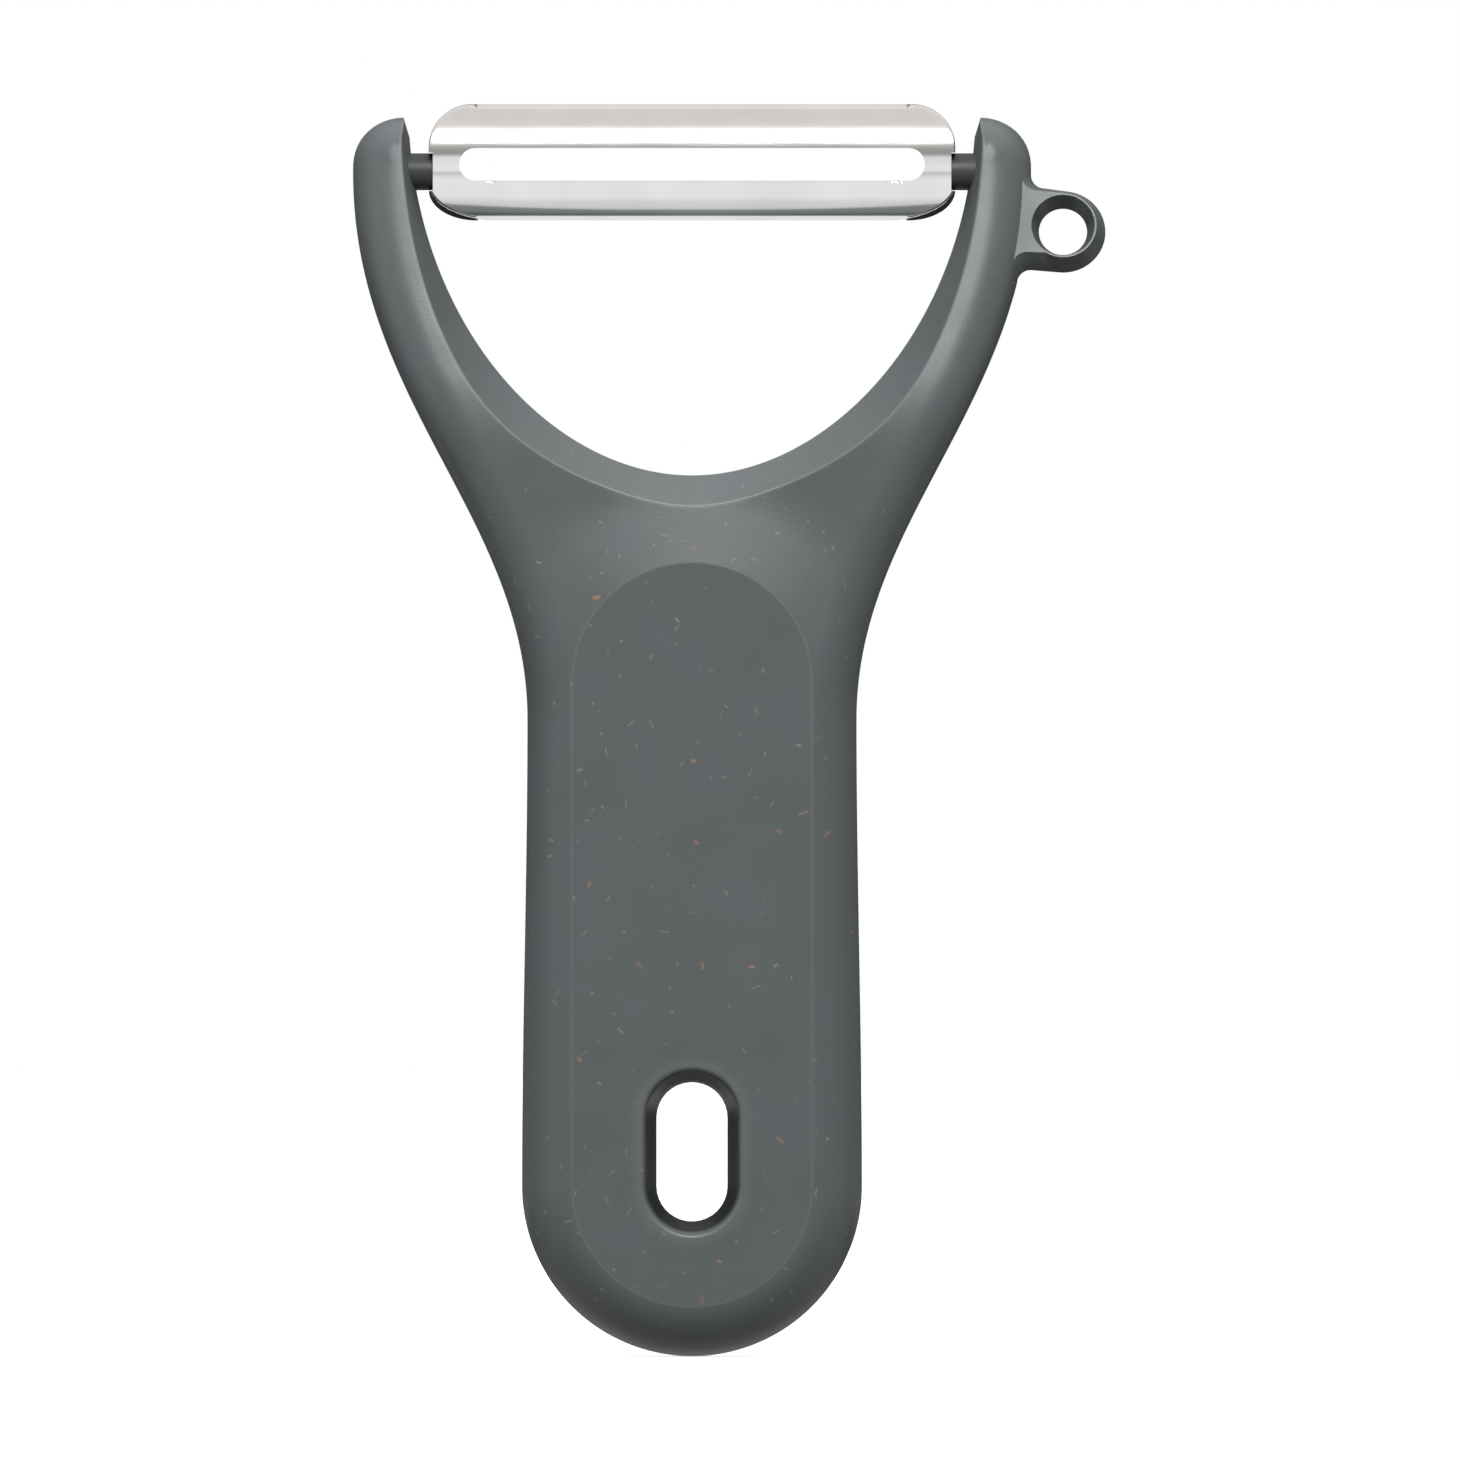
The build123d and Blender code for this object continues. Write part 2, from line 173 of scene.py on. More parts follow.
# Handle faces. A stadium-shaped panel is level. All round it the face slopes away and then levels out
# towards the arms, which lean back from the grip. The rounding of the outer edge ends both faces.
panel_radius = 13.2
panel_top = 51.6
slope = math.radians(12)
slope_run = 6.5
shoulder_radius = 25.0
lean = math.radians(16)
lean_radius = 30.0
knee_depth = half_depth - slope_run * math.tan(slope)
level_run = slope_run + shoulder_radius * math.sin(slope)
arm_depth = knee_depth - shoulder_radius * (1 - math.cos(slope))
bend_start = panel_top + panel_radius + level_run
lean_height = bend_start + lean_radius * math.tan(lean / 2)


def beyond_panel(places):
    up = np.maximum(0, np.maximum(places[:, 1] - panel_top, grip_middle - places[:, 1]))
    return np.hypot(places[:, 0], up) - panel_radius


def crown_depth(places):
    """Half of the thickness between the faces, before the edge is rounded."""
    out = beyond_panel(places)
    sloping = half_depth - np.maximum(out, 0) * math.tan(slope)
    short_of_level = np.clip(level_run - out, 0, shoulder_radius * math.sin(slope))
    levelling = arm_depth + shoulder_radius - np.sqrt(shoulder_radius**2 - short_of_level**2)
    return np.where(out < slope_run, sloping, levelling)


def leaning(places, side):
    """How far forward the arms' front (side 1), back (side -1) or middle (side 0) is."""
    radius = lean_radius + side * arm_depth
    rise = np.maximum(0, places[:, 1] - bend_start)
    bent = np.minimum(rise, radius * math.sin(lean))
    return np.sqrt(radius**2 - bent**2) - lean_radius - (rise - bent) * math.tan(lean)


def surface(places, side, share=None):
    """How far forward the handle's surface is, at the front (side 1) or the back (side -1)."""
    if share is None:
        share = share_inside(places)
    middle = leaning(places, 0)
    face = leaning(places, side) + side * (crown_depth(places) - arm_depth)
    short = np.clip(1 - share, 0, 1)
    return middle + (face - middle) * (1 - short**edge_fullness) ** (1 / edge_fullness)


def within(polygon, places):
    """Which places lie inside a closed polygon."""
    crossings = np.zeros(len(places), bool)
    for a, b in zip(polygon, np.roll(polygon, -1, axis=0)):
        spans = (a[1] > places[:, 1]) != (b[1] > places[:, 1])
        if a[1] != b[1]:
            at = a[0] + (places[:, 1] - a[1]) * (b[0] - a[0]) / (b[1] - a[1])
            crossings ^= spans & (places[:, 0] < at)
    return crossings


class Drawing:
    """One side of a piece, seen from the front: places, how far forward they are, and lines."""

    def __init__(self):
        self.places = np.zeros((0, 2))
        self.forward = np.zeros(0)
        self.wear_and_painted_light = np.zeros(0)
        self.lines = []

    def add(self, places, forward, wear_and_painted_light=0.0, line=False, closed=False, apart=0.0):
        """Adds places, leaving out those nearer than apart to what is there."""
        places = np.asarray(places, float)
        forward, wear_and_painted_light = (np.broadcast_to(values, len(places)) for values in (forward, wear_and_painted_light))
        keep = np.ones(len(places), bool)
        if apart:
            tree = KDTree(len(self.places))
            for index, place in enumerate(self.places):
                tree.insert((*place, 0), index)
            tree.balance()
            last = None
            for index, place in enumerate(places):
                keep[index] = tree.find((*place, 0))[2] >= apart
                if last is not None and np.linalg.norm(place - last) < apart / 2:
                    keep[index] = False
                if keep[index]:
                    last = place
        first = len(self.places)
        self.places = np.concatenate([self.places, places[keep]])
        self.forward = np.concatenate([self.forward, forward[keep]])
        self.wear_and_painted_light = np.concatenate([self.wear_and_painted_light, wear_and_painted_light[keep]])
        if line:
            count = keep.sum()
            self.lines += [(first + i, first + i + 1) for i in range(count - 1)]
            if closed:
                self.lines.append((first + count - 1, first))

    def triangles(self, holes=()):
        """Places, forward distances, marks of wear and painted light, and triangles. A hole says which places lie in
        it.
        """
        found = delaunay_2d_cdt([Vector(place) for place in self.places], self.lines, [], 1, 1e-5)
        places = np.array([tuple(point) for point in found[0]])
        source = np.array([ids[0] if ids else -1 for ids in found[3]])
        if (source < 0).any():
            tree = KDTree(len(self.places))
            for index, place in enumerate(self.places):
                tree.insert((*place, 0), index)
            tree.balance()
            for index in np.flatnonzero(source < 0):
                source[index] = tree.find((*places[index], 0))[1]
        faces = np.array([face for face in found[2] if len(face) == 3])
        middles = places[faces].mean(axis=1)
        solid = np.ones(len(faces), bool)
        for hole in holes:
            solid &= ~hole(middles)
        faces = faces[solid]
        a, b, c = (places[faces[:, corner]] for corner in (0, 1, 2))
        across = (b - a)[:, 0] * (c - a)[:, 1] - (b - a)[:, 1] * (c - a)[:, 0]
        faces[across < 0] = faces[across < 0][:, ::-1]
        return places, self.forward[source], self.wear_and_painted_light[source], faces


# Arch between the arms. Both faces are bevelled down to a ridge, most at the arch's floor and least at
# the tips. The mould leaves ridge and creases slightly round, and they are painted lighter, partly as wear and
# partly as a painted highlight.
arch_depth = 33.4
arch_floor = swivel_height - arch_depth
tip_corner = tip_height - 2.2
bevel_floor = 3.5
bevel_tip = 0.9
ridge_round = 0.3
crease_round = 0.2
ridge_shares = [(0.475, 0.0), (0.947, 0.411)]
crease_shares = [(0.432, 0.0), (0.963, 0.321)]
ridge_lean = swivel_back / arch_depth
arch_shares = np.concatenate([np.linspace(0, 1, 72), (1.2, 1.4, 1.6, 1.8)])
past_corner = np.clip(arch_shares - 1, 0, 1)


def arch_line(half_width, floor, curve_shares):
    """The right half of an arch line, up to the arm's corner and on towards the tip."""
    controls = [(0, floor)]
    controls += [(half_width * x, floor + (tip_corner - floor) * z) for x, z in curve_shares]
    controls += [(half_width, tip_corner)]
    past = past_corner[:, None]
    return bezier(controls, np.clip(arch_shares, 0, 1)) * (1 - past) + np.array((tip_half, tip_height)) * past


ridge = arch_line(arm_half, arch_floor, ridge_shares)
bevel_run = arch_line(arm_half + bevel_tip, arch_floor - bevel_floor, crease_shares) - ridge
ridge_forward = (arch_floor - ridge[:, 1]) * ridge_lean * (1 - past_corner) + leaning(ridge, 0) * past_corner


class Bevel:
    """The arch's bevel at the front (side 1) or the back (side -1), from the ridge to the crease."""

    def __init__(self, side):
        self.side = side
        depth = np.zeros(len(ridge))
        for step in range(40):
            share = depth / arm_depth
            self.crease = ridge + bevel_run * share[:, None]
            reached = ridge_forward - ridge_lean * bevel_run[:, 1] * share + side * depth
            self.crease_forward = surface(self.crease, side)
            depth += side * (self.crease_forward - reached) / 2
        before = self.crease[1:2] * (-1, 1)
        self.out = right_hand(np.concatenate([before, self.crease]))[1:]
        width = np.linalg.norm(self.crease - ridge, axis=1)
        self.slant = np.hypot(width, self.crease_forward - ridge_forward)
        self.fine = np.minimum(1, self.slant / 2)

    def up(self, share):
        """A row of the bevel, a share of the way from the ridge to the crease."""
        share = np.broadcast_to(share, len(ridge))
        places = ridge + (self.crease - ridge) * share[:, None]
        return places, ridge_forward + (self.crease_forward - ridge_forward) * share

    def out_on_face(self, length):
        """A row of the face, this far out from the crease."""
        places = self.crease + self.out * (length * self.fine)[:, None]
        return places, surface(places, self.side)


def both_halves(places, values):
    """A row of the right half, which starts on the middle line, with its mirror image before it."""
    return np.concatenate([(places * (-1, 1))[:0:-1], places]), np.concatenate([values[:0:-1], values])


def rounded(near, edge, far, share):
    """A row of the rounding that takes off an edge between two rows."""
    parts = zip(near, edge, far)
    return [(1 - share) ** 2 * a + 2 * share * (1 - share) * b + share**2 * c for a, b, c in parts]


bevels = {side: Bevel(side) for side in (1, -1)}
ridge_ends = {side: bevel.up(ridge_round * bevel.fine / bevel.slant) for side, bevel in bevels.items()}
ridge_row = both_halves(*rounded(ridge_ends[-1], (ridge, ridge_forward), ridge_ends[1], 0.5))


# Eye-remover ring. It stands out from the right arm on a short web of the same moulding, and leans with
# the arm. Its hole flares towards each face, where a thin rim is left that digs.
ring_across = arm_outer + 3.5
ring_along = lean_height + (swivel_height - 6.65 - lean_height) / math.cos(lean)
ring_middle = np.array((ring_across, ring_along))
ring_radius = handle_high.x - ring_across
rim_radius = 3.68
rim_depth = 2.6
hole_radius = 2.65
rim_hole_radius = 3.5
web_flare = 1.5
web_fall = 8
web_low_turns = (5, 32)
web_low_falls = (5, 2)


def leaned(along_arm, ahead):
    """Places and forward distances of points that are given in the arms' own plane, or ahead of it."""
    up = along_arm[:, 1] - lean_height
    height = lean_height + up * math.cos(lean) + ahead * math.sin(lean)
    return np.stack([along_arm[:, 0], height], 1), ahead * math.cos(lean) - up * math.sin(lean)


def inset_at(ahead):
    """How far in from the arm's side its rounding is this far ahead of the middle."""
    return edge_width * (1 - (1 - (ahead / arm_depth) ** edge_fullness) ** (1 / edge_fullness))


def web_row(share, side):
    """Web and ring, from the arm's surface below, round the ring, to the arm's surface above."""
    ahead = rim_depth * share
    radius = ring_radius + (rim_radius - ring_radius) * share
    low_turn = math.radians(np.interp(share, (0, 1), web_low_turns))
    low_fall = math.radians(np.interp(share, (0, 1), web_low_falls))
    high_turn = math.radians(web_fall)
    low_end = ring_middle - radius * np.array((math.sin(low_turn), math.cos(low_turn)))
    high_end = ring_middle + radius * np.array((math.sin(high_turn), math.cos(high_turn)))
    low = low_end[1] + (low_end[0] - arm_outer) * math.tan(low_fall)
    high = high_end[1] + (high_end[0] - arm_outer - web_flare) * math.tan(high_turn)
    roots = np.array([(0, low - web_flare), (0, high + web_flare)])
    heights = leaned(roots, side * ahead)[0][:, 1]
    low_side, high_side = np.interp(heights, flare_side[:, 1], flare_side[:, 0]) - inset_at(ahead)
    flare_low = arc((low_side + web_flare, low - web_flare), web_flare, 180, 90, 9)
    ring = arc(ring_middle, radius, -90 - math.degrees(low_turn), 90 - web_fall, 64)
    flare_high = arc((high_side + web_flare, high + web_flare), web_flare, -90, -180, 9)
    low_run = np.linspace(flare_low[-1], ring[0], 8)[1:-1]
    high_run = np.linspace(ring[-1], flare_high[0], 8)[1:-1]
    row = np.concatenate([flare_low, low_run, ring, high_run, flare_high])
    return leaned(row, side * ahead)


# Handle solid. Front and back are drawn one after the other, filled in with small triangles, and joined
# along the outer edge, the arch's ridge, the hanging slot and the ring's hole.
slot_half = 3.9            # of the hanging slot's width in the middle of the moulding
slot_run = (15.3 - 7.8) / 2
slot_flare = 1.35
slot_lip = 0.65
lip_turn = math.atan2(half_depth, slot_flare)
lip_out = slot_flare + slot_lip * math.tan(lip_turn / 2)
lip_turns = np.linspace(math.pi / 2 + lip_turn, math.pi / 2, 7)
slot_rows = [(slot_flare * share, half_depth * share) for share in (0, 0.25, 0.5, 0.75)]
slot_rows += [(lip_out + slot_lip * math.cos(t), half_depth - slot_lip * (1 - math.sin(t))) for t in lip_turns]
slot_rows += [(lip_out + 0.3, half_depth)]
fill_step = 0.9

web_foot = web_row(0, 1)
on_web = (silhouette[:, 0] > 0) & (silhouette[:, 1] > web_foot[0][0, 1]) & (silhouette[:, 1] < web_foot[0][-1, 1])
web_start, web_end = np.flatnonzero(on_web)[[0, -1]] + (0, 1)
silhouette_forward = leaning(silhouette, 0)


def stadium(radius, low, high):
    """A closed line round an upright stadium, its points about as far apart as on the outline."""
    turn = arc((0, high), radius, 0, 180, 40), arc((0, low), radius, 180, 360, 40)
    return evenly(np.concatenate([*turn, [(radius, high)]]), outline_step)[:-1]


def handle_side(side):
    """The front (side 1) or the back (side -1) of the handle."""
    drawing = Drawing()
    edge = [
        np.concatenate([outline[:web_start], web, outline[web_end:], row[::-1]])
        for outline, web, row in zip((silhouette, silhouette_forward), web_foot, ridge_row)
    ]
    drawing.add(*edge, line=True, closed=True)

    bevel = bevels[side]
    fine = crease_round * bevel.fine / bevel.slant
    near, far = bevel.up(1 - fine), bevel.out_on_face(crease_round)
    # The ridge and crease rows are marked lighter: partly wear, partly a painted highlight along the edges.
    rows = [(rounded(ridge_ends[-side], (ridge, ridge_forward), ridge_ends[side], 0.75), 0.5)]
    rows += [(ridge_ends[side], 0.1), (bevel.up(2 * ridge_round * bevel.fine / bevel.slant), 0)]
    rows += [(bevel.up(share), 0) for share in (0.35, 0.55, 0.75)]
    rows += [(bevel.up(1 - 2 * fine), 0), (near, 0.2)]
    rows += [(rounded(near, (bevel.crease, bevel.crease_forward), far, share), 1) for share in (0.25, 0.5, 0.75)]
    rows += [(far, 0.2), (bevel.out_on_face(2.5 * crease_round), 0)]
    for (places, forward), wear_and_painted_light in rows:
        drawing.add(*both_halves(places, forward), wear_and_painted_light=wear_and_painted_light, line=True)

    # The web's rim row and the hole's rim are marked lighter on their right half only: a painted highlight on the
    # side the light catches, partly wear.
    for share in (0.33, 0.67, 0.9, 1):
        row, ahead = web_row(share, side)
        drawing.add(row, ahead, wear_and_painted_light=0.9 * (share == 1) * (row[:, 0] > ring_across - 1), line=True)
    for share in (0, 0.25, 0.5, 0.75, 1):
        radius = hole_radius + (rim_hole_radius - hole_radius) * share
        row, ahead = leaned(arc(ring_middle, radius, 0, 360, 73)[:-1], side * rim_depth * share)
        wear_and_painted_light = 0.9 * (share == 1) * (row[:, 0] > ring_across - 1)
        drawing.add(row, ahead, wear_and_painted_light=wear_and_painted_light, line=True, closed=True)

    for out, depth in slot_rows:
        row = stadium(slot_half + out, -slot_run, slot_run)
        # Deep rows of the slot's walls get -1, which paints them near-black as painted shade. Rows at the lip's
        # front edge get 0.6, partly wear and partly a painted highlight.
        wear_and_painted_light = -1 if depth < half_depth - 0.8 * slot_lip else 0.6 * (depth > half_depth - 0.15)
        drawing.add(row, side * depth, wear_and_painted_light=wear_and_painted_light, line=True, closed=True)
    # The panel's edge is marked lighter: partly wear, partly a painted highlight.
    for out, wear_and_painted_light in ((-0.35, 0), (-0.12, 0.2), (0, 1), (0.12, 0.2), (0.35, 0)):
        row = stadium(panel_radius + out, grip_middle, panel_top)
        drawing.add(row, side * crown_depth(row), wear_and_painted_light=wear_and_painted_light, line=True, closed=True)

    web_top = web_row(1, side)[0]
    arch = both_halves(*bevel.out_on_face(2.5 * crease_round))[0]
    arch = np.concatenate([arch, [(tip_half, tip_height + 1), (-tip_half, tip_height + 1)]])
    meeting = inset_at(rim_depth)
    row = silhouette - silhouette_out * meeting
    row = row[within(web_top, row) & (row[:, 0] > 0)]
    drawing.add(row, surface(row, side, meeting / edge_width), line=True)
    for turn in np.linspace(0, math.pi / 2, edge_rows + 1)[1:]:
        share = 1 - math.cos(turn)
        row = silhouette - silhouette_out * edge_widths * share
        ahead = arm_depth * (1 - (1 - share) ** edge_fullness) ** (1 / edge_fullness)
        foot = web_row(min(1, ahead / rim_depth), side)[0]
        covered = (row[:, 0] > 0) & (row[:, 1] > foot[0, 1] - 0.15) & (row[:, 1] < foot[-1, 1] + 0.15)
        keep = ~within(arch, row) & ~(covered & (share * edge_width < meeting + 0.1))
        drawing.add(row[keep], surface(row, side, share)[keep], apart=min(0.25, 0.6 * edge_width * share))

    across, up = np.meshgrid(
        np.arange(-arm_outer, arm_outer, fill_step),
        np.arange(-grip_end, tip_height, fill_step * math.sqrt(3) / 2),
        indexing="ij",
    )
    across[:, ::2] += fill_step / 2
    fill = np.stack([across.ravel(), up.ravel()], 1)
    on_slot = np.hypot(fill[:, 0], np.maximum(0, np.abs(fill[:, 1]) - slot_run)) < slot_half + lip_out + 0.3
    fill = fill[within(silhouette, fill) & ~within(arch, fill) & ~on_slot & ~within(web_foot[0], fill)]
    inside = share_inside(fill)
    fill = fill[inside > 1]
    drawing.add(fill, surface(fill, side, inside[inside > 1]), apart=0.55)
    ring_place = leaned(ring_middle[None], 0)[0]
    ring_squeeze = np.array((1, 1 / math.cos(lean)))
    return drawing.triangles([
        lambda places: np.hypot(places[:, 0], np.maximum(0, np.abs(places[:, 1]) - slot_run)) < slot_half,
        lambda places: np.linalg.norm((places - ring_place) * ring_squeeze, axis=1) < hole_radius * 0.999,
    ])


corners, handle_wear_and_painted_light, handle_faces = [], [], []
for side in (1, -1):
    places, forward, wear_and_painted_light, faces = handle_side(side)
    handle_faces += (faces[:, ::side] + sum(map(len, corners))).tolist()
    corners.append(np.stack([places[:, 0], -forward, places[:, 1]], 1) * mm)
    handle_wear_and_painted_light.append(wear_and_painted_light)
handle_mesh = bpy.data.meshes.new("moulded_handle")
handle_mesh.from_pydata(np.concatenate(corners).tolist(), [], handle_faces)
# This attribute holds wear and painted light. Above zero is a lighter edge, partly wear and partly painted
# highlight; below zero is painted shade.
edge_wear_and_painted_light = handle_mesh.attributes.new("edge_wear_and_painted_light", "FLOAT", "POINT")
edge_wear_and_painted_light.data.foreach_set("value", np.concatenate(handle_wear_and_painted_light))
shell = bmesh.new()
shell.from_mesh(handle_mesh)
bmesh.ops.remove_doubles(shell, verts=shell.verts, dist=0.002 * mm)
shell.to_mesh(handle_mesh)
shell.free()

# The journals' blind bores are cut into the two arms, square across the peeler.
bore_radius = 2.085
bore_start = 29.0
bore_end = 34.25


def turned(profile, count=64):
    """Corners and faces of a solid turned about the swivel axis, from places along it and radii."""
    corners = [(x, swivel_back + r * math.sin(t), swivel_height + r * math.cos(t))
               for x, r in profile for t in np.linspace(0, 2 * math.pi, count + 1)[:-1]]
    rows = len(profile)
    faces = [list(range(count)), [(rows - 1) * count + i for i in range(count)][::-1]]
    for row in range(rows - 1):
        for i in range(count):
            a, b = row * count + i, row * count + (i + 1) % count
            faces.append([b, a, a + count, b + count])
    return np.array(corners) * mm, faces


bore_mesh = bpy.data.meshes.new("bores")
bore_corners, bore_faces = turned([(bore_start, bore_radius), (bore_end, bore_radius)])
mirrored = (bore_corners * (-1, 1, 1)).tolist()
mirrored_faces = [[corner + len(mirrored) for corner in face[::-1]] for face in bore_faces]
bore_mesh.from_pydata(bore_corners.tolist() + mirrored, [], bore_faces + mirrored_faces)
bores = bpy.data.objects.new("bores", bore_mesh)
handle = bpy.data.objects.new("moulded_handle", handle_mesh)
for made in (bores, handle):
    bpy.context.collection.objects.link(made)
drill = handle.modifiers.new("bores", "BOOLEAN")
drill.operation = "DIFFERENCE"
drill.solver = "EXACT"
drill.object = bores
drilled = bpy.data.meshes.new_from_object(handle.evaluated_get(bpy.context.evaluated_depsgraph_get()))
handle.modifiers.clear()
handle.data = drilled
bpy.data.objects.remove(bores)
middles, facings = np.zeros((2, len(drilled.polygons), 3))
drilled.polygons.foreach_get("center", middles.ravel())
drilled.polygons.foreach_get("normal", facings.ravel())
arm_facing = np.array((0, -math.cos(lean), math.sin(lean)))
off_plane = np.abs(np.abs((middles / mm - (0, 0, lean_height)) @ arm_facing) - rim_depth)
on_web_face = (off_plane < 0.002) & (np.abs(facings @ arm_facing) > 0.9999)
drilled.polygons.foreach_set("use_smooth", ~on_web_face)
drilled.set_sharp_from_angle(angle=math.radians(32))

# The plastic is blue-grey and matte, with a fine grain from the mould. Short tan, orange and pale plant
# fibres show in it, singly and in small groups, most on the grip and fewer towards the arms.
plastic_colour = (0.094, 0.106, 0.107, 1)
# Colour of the lighter edges: partly wear, partly a painted highlight.
wear_and_highlight_colour = (0.155, 0.168, 0.17, 1)
slot_painted_shade_colour = (0.012, 0.013, 0.014, 1)    # painted shade of the hanging slot's walls, which lie deep in shadow
fibres = (                 # cell in mm, share of cells with one, longest, width, bend, seed and colour
    (3.4, 0.42, 0.40, 0.20, 0.4, 3.0, (0.23, 0.21, 0.175, 1)),
    (5.2, 0.40, 1.00, 0.16, 0.9, 11.0, (0.22, 0.175, 0.14, 1)),
    (6.5, 0.34, 0.70, 0.27, 0.7, 23.0, (0.31, 0.175, 0.115, 1)),
)


def node_group(name, inputs, outputs):
    """An empty shader group with named inputs, which have values, and named outputs."""
    group = bpy.data.node_groups.new(name, "ShaderNodeTree")
    for socket, kind, value in inputs:
        made = group.interface.new_socket(socket, in_out="INPUT", socket_type=kind)
        if value is not None:
            made.default_value = value
    for socket, kind in outputs:
        group.interface.new_socket(socket, in_out="OUTPUT", socket_type=kind)
    return group, group.nodes.new("NodeGroupInput").outputs, group.nodes.new("NodeGroupOutput").inputs


class Wiring:
    """Short ways to add nodes to one node tree."""

    def __init__(self, tree):
        self.tree = tree

    def node(self, kind, inputs=None, **settings):
        node = self.tree.nodes.new(kind)
        for name, value in settings.items():
            setattr(node, name, value)
        for key, value in (inputs or {}).items():
            if isinstance(value, bpy.types.NodeSocket):
                self.tree.links.new(value, node.inputs[key])
            else:
                node.inputs[key].default_value = value
        return node

    def math(self, operation, *values, clamp=False):
        kind = dict(operation=operation, use_clamp=clamp)
        return self.node("ShaderNodeMath", dict(enumerate(values)), **kind).outputs[0]

    def vector(self, operation, *values, out="Vector"):
        return self.node("ShaderNodeVectorMath", dict(enumerate(values)), operation=operation).outputs[out]

    def scaled(self, vector, scale):
        node = self.node("ShaderNodeVectorMath", {0: vector, "Scale": scale}, operation="SCALE")
        return node.outputs["Vector"]

    def ease(self, value, low, high, to_low, to_high):
        inputs = {"Value": value, "From Min": low, "From Max": high, "To Min": to_low, "To Max": to_high}
        return self.node("ShaderNodeMapRange", inputs, interpolation_type="SMOOTHSTEP").outputs["Result"]

    def mix(self, share, low, high):
        sockets = {"Factor": share, 6: low, 7: high}
        return self.node("ShaderNodeMix", sockets, data_type="RGBA").outputs[2]

    def noise(self, vector, scale, detail=2.0):
        inputs = {"Vector": vector, "Scale": scale, "Detail": detail}
        return self.node("ShaderNodeTexNoise", inputs).outputs["Fac"]


fibre_inputs = [("Place", "NodeSocketVector", None)] + [
    (name, "NodeSocketFloat", value)
    for name, value in (("Cell", 4.0), ("Share", 0.4), ("Length", 1.0), ("Width", 0.1), ("Bend", 1.0), ("Seed", 0.0))
]
fibre_group, given, result = node_group("fibre flecks", fibre_inputs, [("Mask", "NodeSocketFloat")])
wires = Wiring(fibre_group)
per_cell = wires.math("DIVIDE", 1.0, given["Cell"])
shift = wires.node("ShaderNodeCombineXYZ", {"X": given["Seed"], "Y": given["Seed"]}).outputs[0]
place = wires.vector("ADD", wires.scaled(given["Place"], per_cell), shift)
cells = wires.node("ShaderNodeTexVoronoi", {"Vector": place, "Scale": 1.0, "Randomness": 0.8},
                   voronoi_dimensions="2D", feature="F1")
local = wires.scaled(wires.vector("SUBTRACT", place, cells.outputs["Position"]), given["Cell"])
chance = wires.node("ShaderNodeSeparateColor", {"Color": cells.outputs["Color"]}).outputs
own = wires.node("ShaderNodeTexWhiteNoise", {"Vector": cells.outputs["Position"]}, noise_dimensions="2D")
own_chance = wires.node("ShaderNodeSeparateColor", {"Color": own.outputs["Color"]}).outputs
angle = wires.math("MULTIPLY", chance[0], 2 * math.pi)
turned_place = wires.node("ShaderNodeVectorRotate", {"Vector": local, "Angle": angle}, rotation_type="Z_AXIS")
run = wires.node("ShaderNodeSeparateXYZ", {"Vector": turned_place.outputs[0]}).outputs
bow = wires.math("MULTIPLY", wires.math("SUBTRACT", chance[1], 0.5), given["Bend"])
bowed = wires.math("SUBTRACT", run[1], wires.math("MULTIPLY", bow, wires.math("MULTIPLY", run[0], run[0])))
reach = wires.math("MULTIPLY", given["Length"], wires.math("MULTIPLY_ADD", chance[2], 0.45, 0.1))
beyond = wires.math("MAXIMUM", wires.math("SUBTRACT", wires.math("ABSOLUTE", run[0]), reach), 0.0)
off_line = wires.math("ADD", wires.math("POWER", beyond, 2.0), wires.math("POWER", bowed, 2.0))
off_line = wires.math("SQRT", off_line)
half_width = wires.math("MULTIPLY", given["Width"], wires.math("MULTIPLY_ADD", own_chance[2], 0.4, 0.45))
stroke = wires.ease(wires.math("DIVIDE", off_line, half_width), 0.2, 1.5, 1.0, 0.0)
there = wires.math("LESS_THAN", own_chance[0], given["Share"])
strength = wires.math("MULTIPLY_ADD", own_chance[1], 0.75, 0.25)
mask = wires.math("MULTIPLY", stroke, wires.math("MULTIPLY", there, strength))
fibre_group.links.new(mask, result["Mask"])

grain_inputs = [("Place", "NodeSocketVector", None), ("Depth", "NodeSocketFloat", 0.01)]
grain_outputs = [("Height", "NodeSocketFloat"), ("Cloud", "NodeSocketFloat")]
grain_group, given, result = node_group("moulded grain", grain_inputs, grain_outputs)
wires = Wiring(grain_group)
fine_grain = wires.noise(given["Place"], 3.2, 3.0)
coarse_grain = wires.noise(given["Place"], 0.55, 2.0)
height = wires.math("MULTIPLY", wires.math("MULTIPLY_ADD", coarse_grain, 0.6, fine_grain), given["Depth"])
grain_group.links.new(height, result["Height"])
grain_group.links.new(wires.noise(given["Place"], 0.12, 3.0), result["Cloud"])


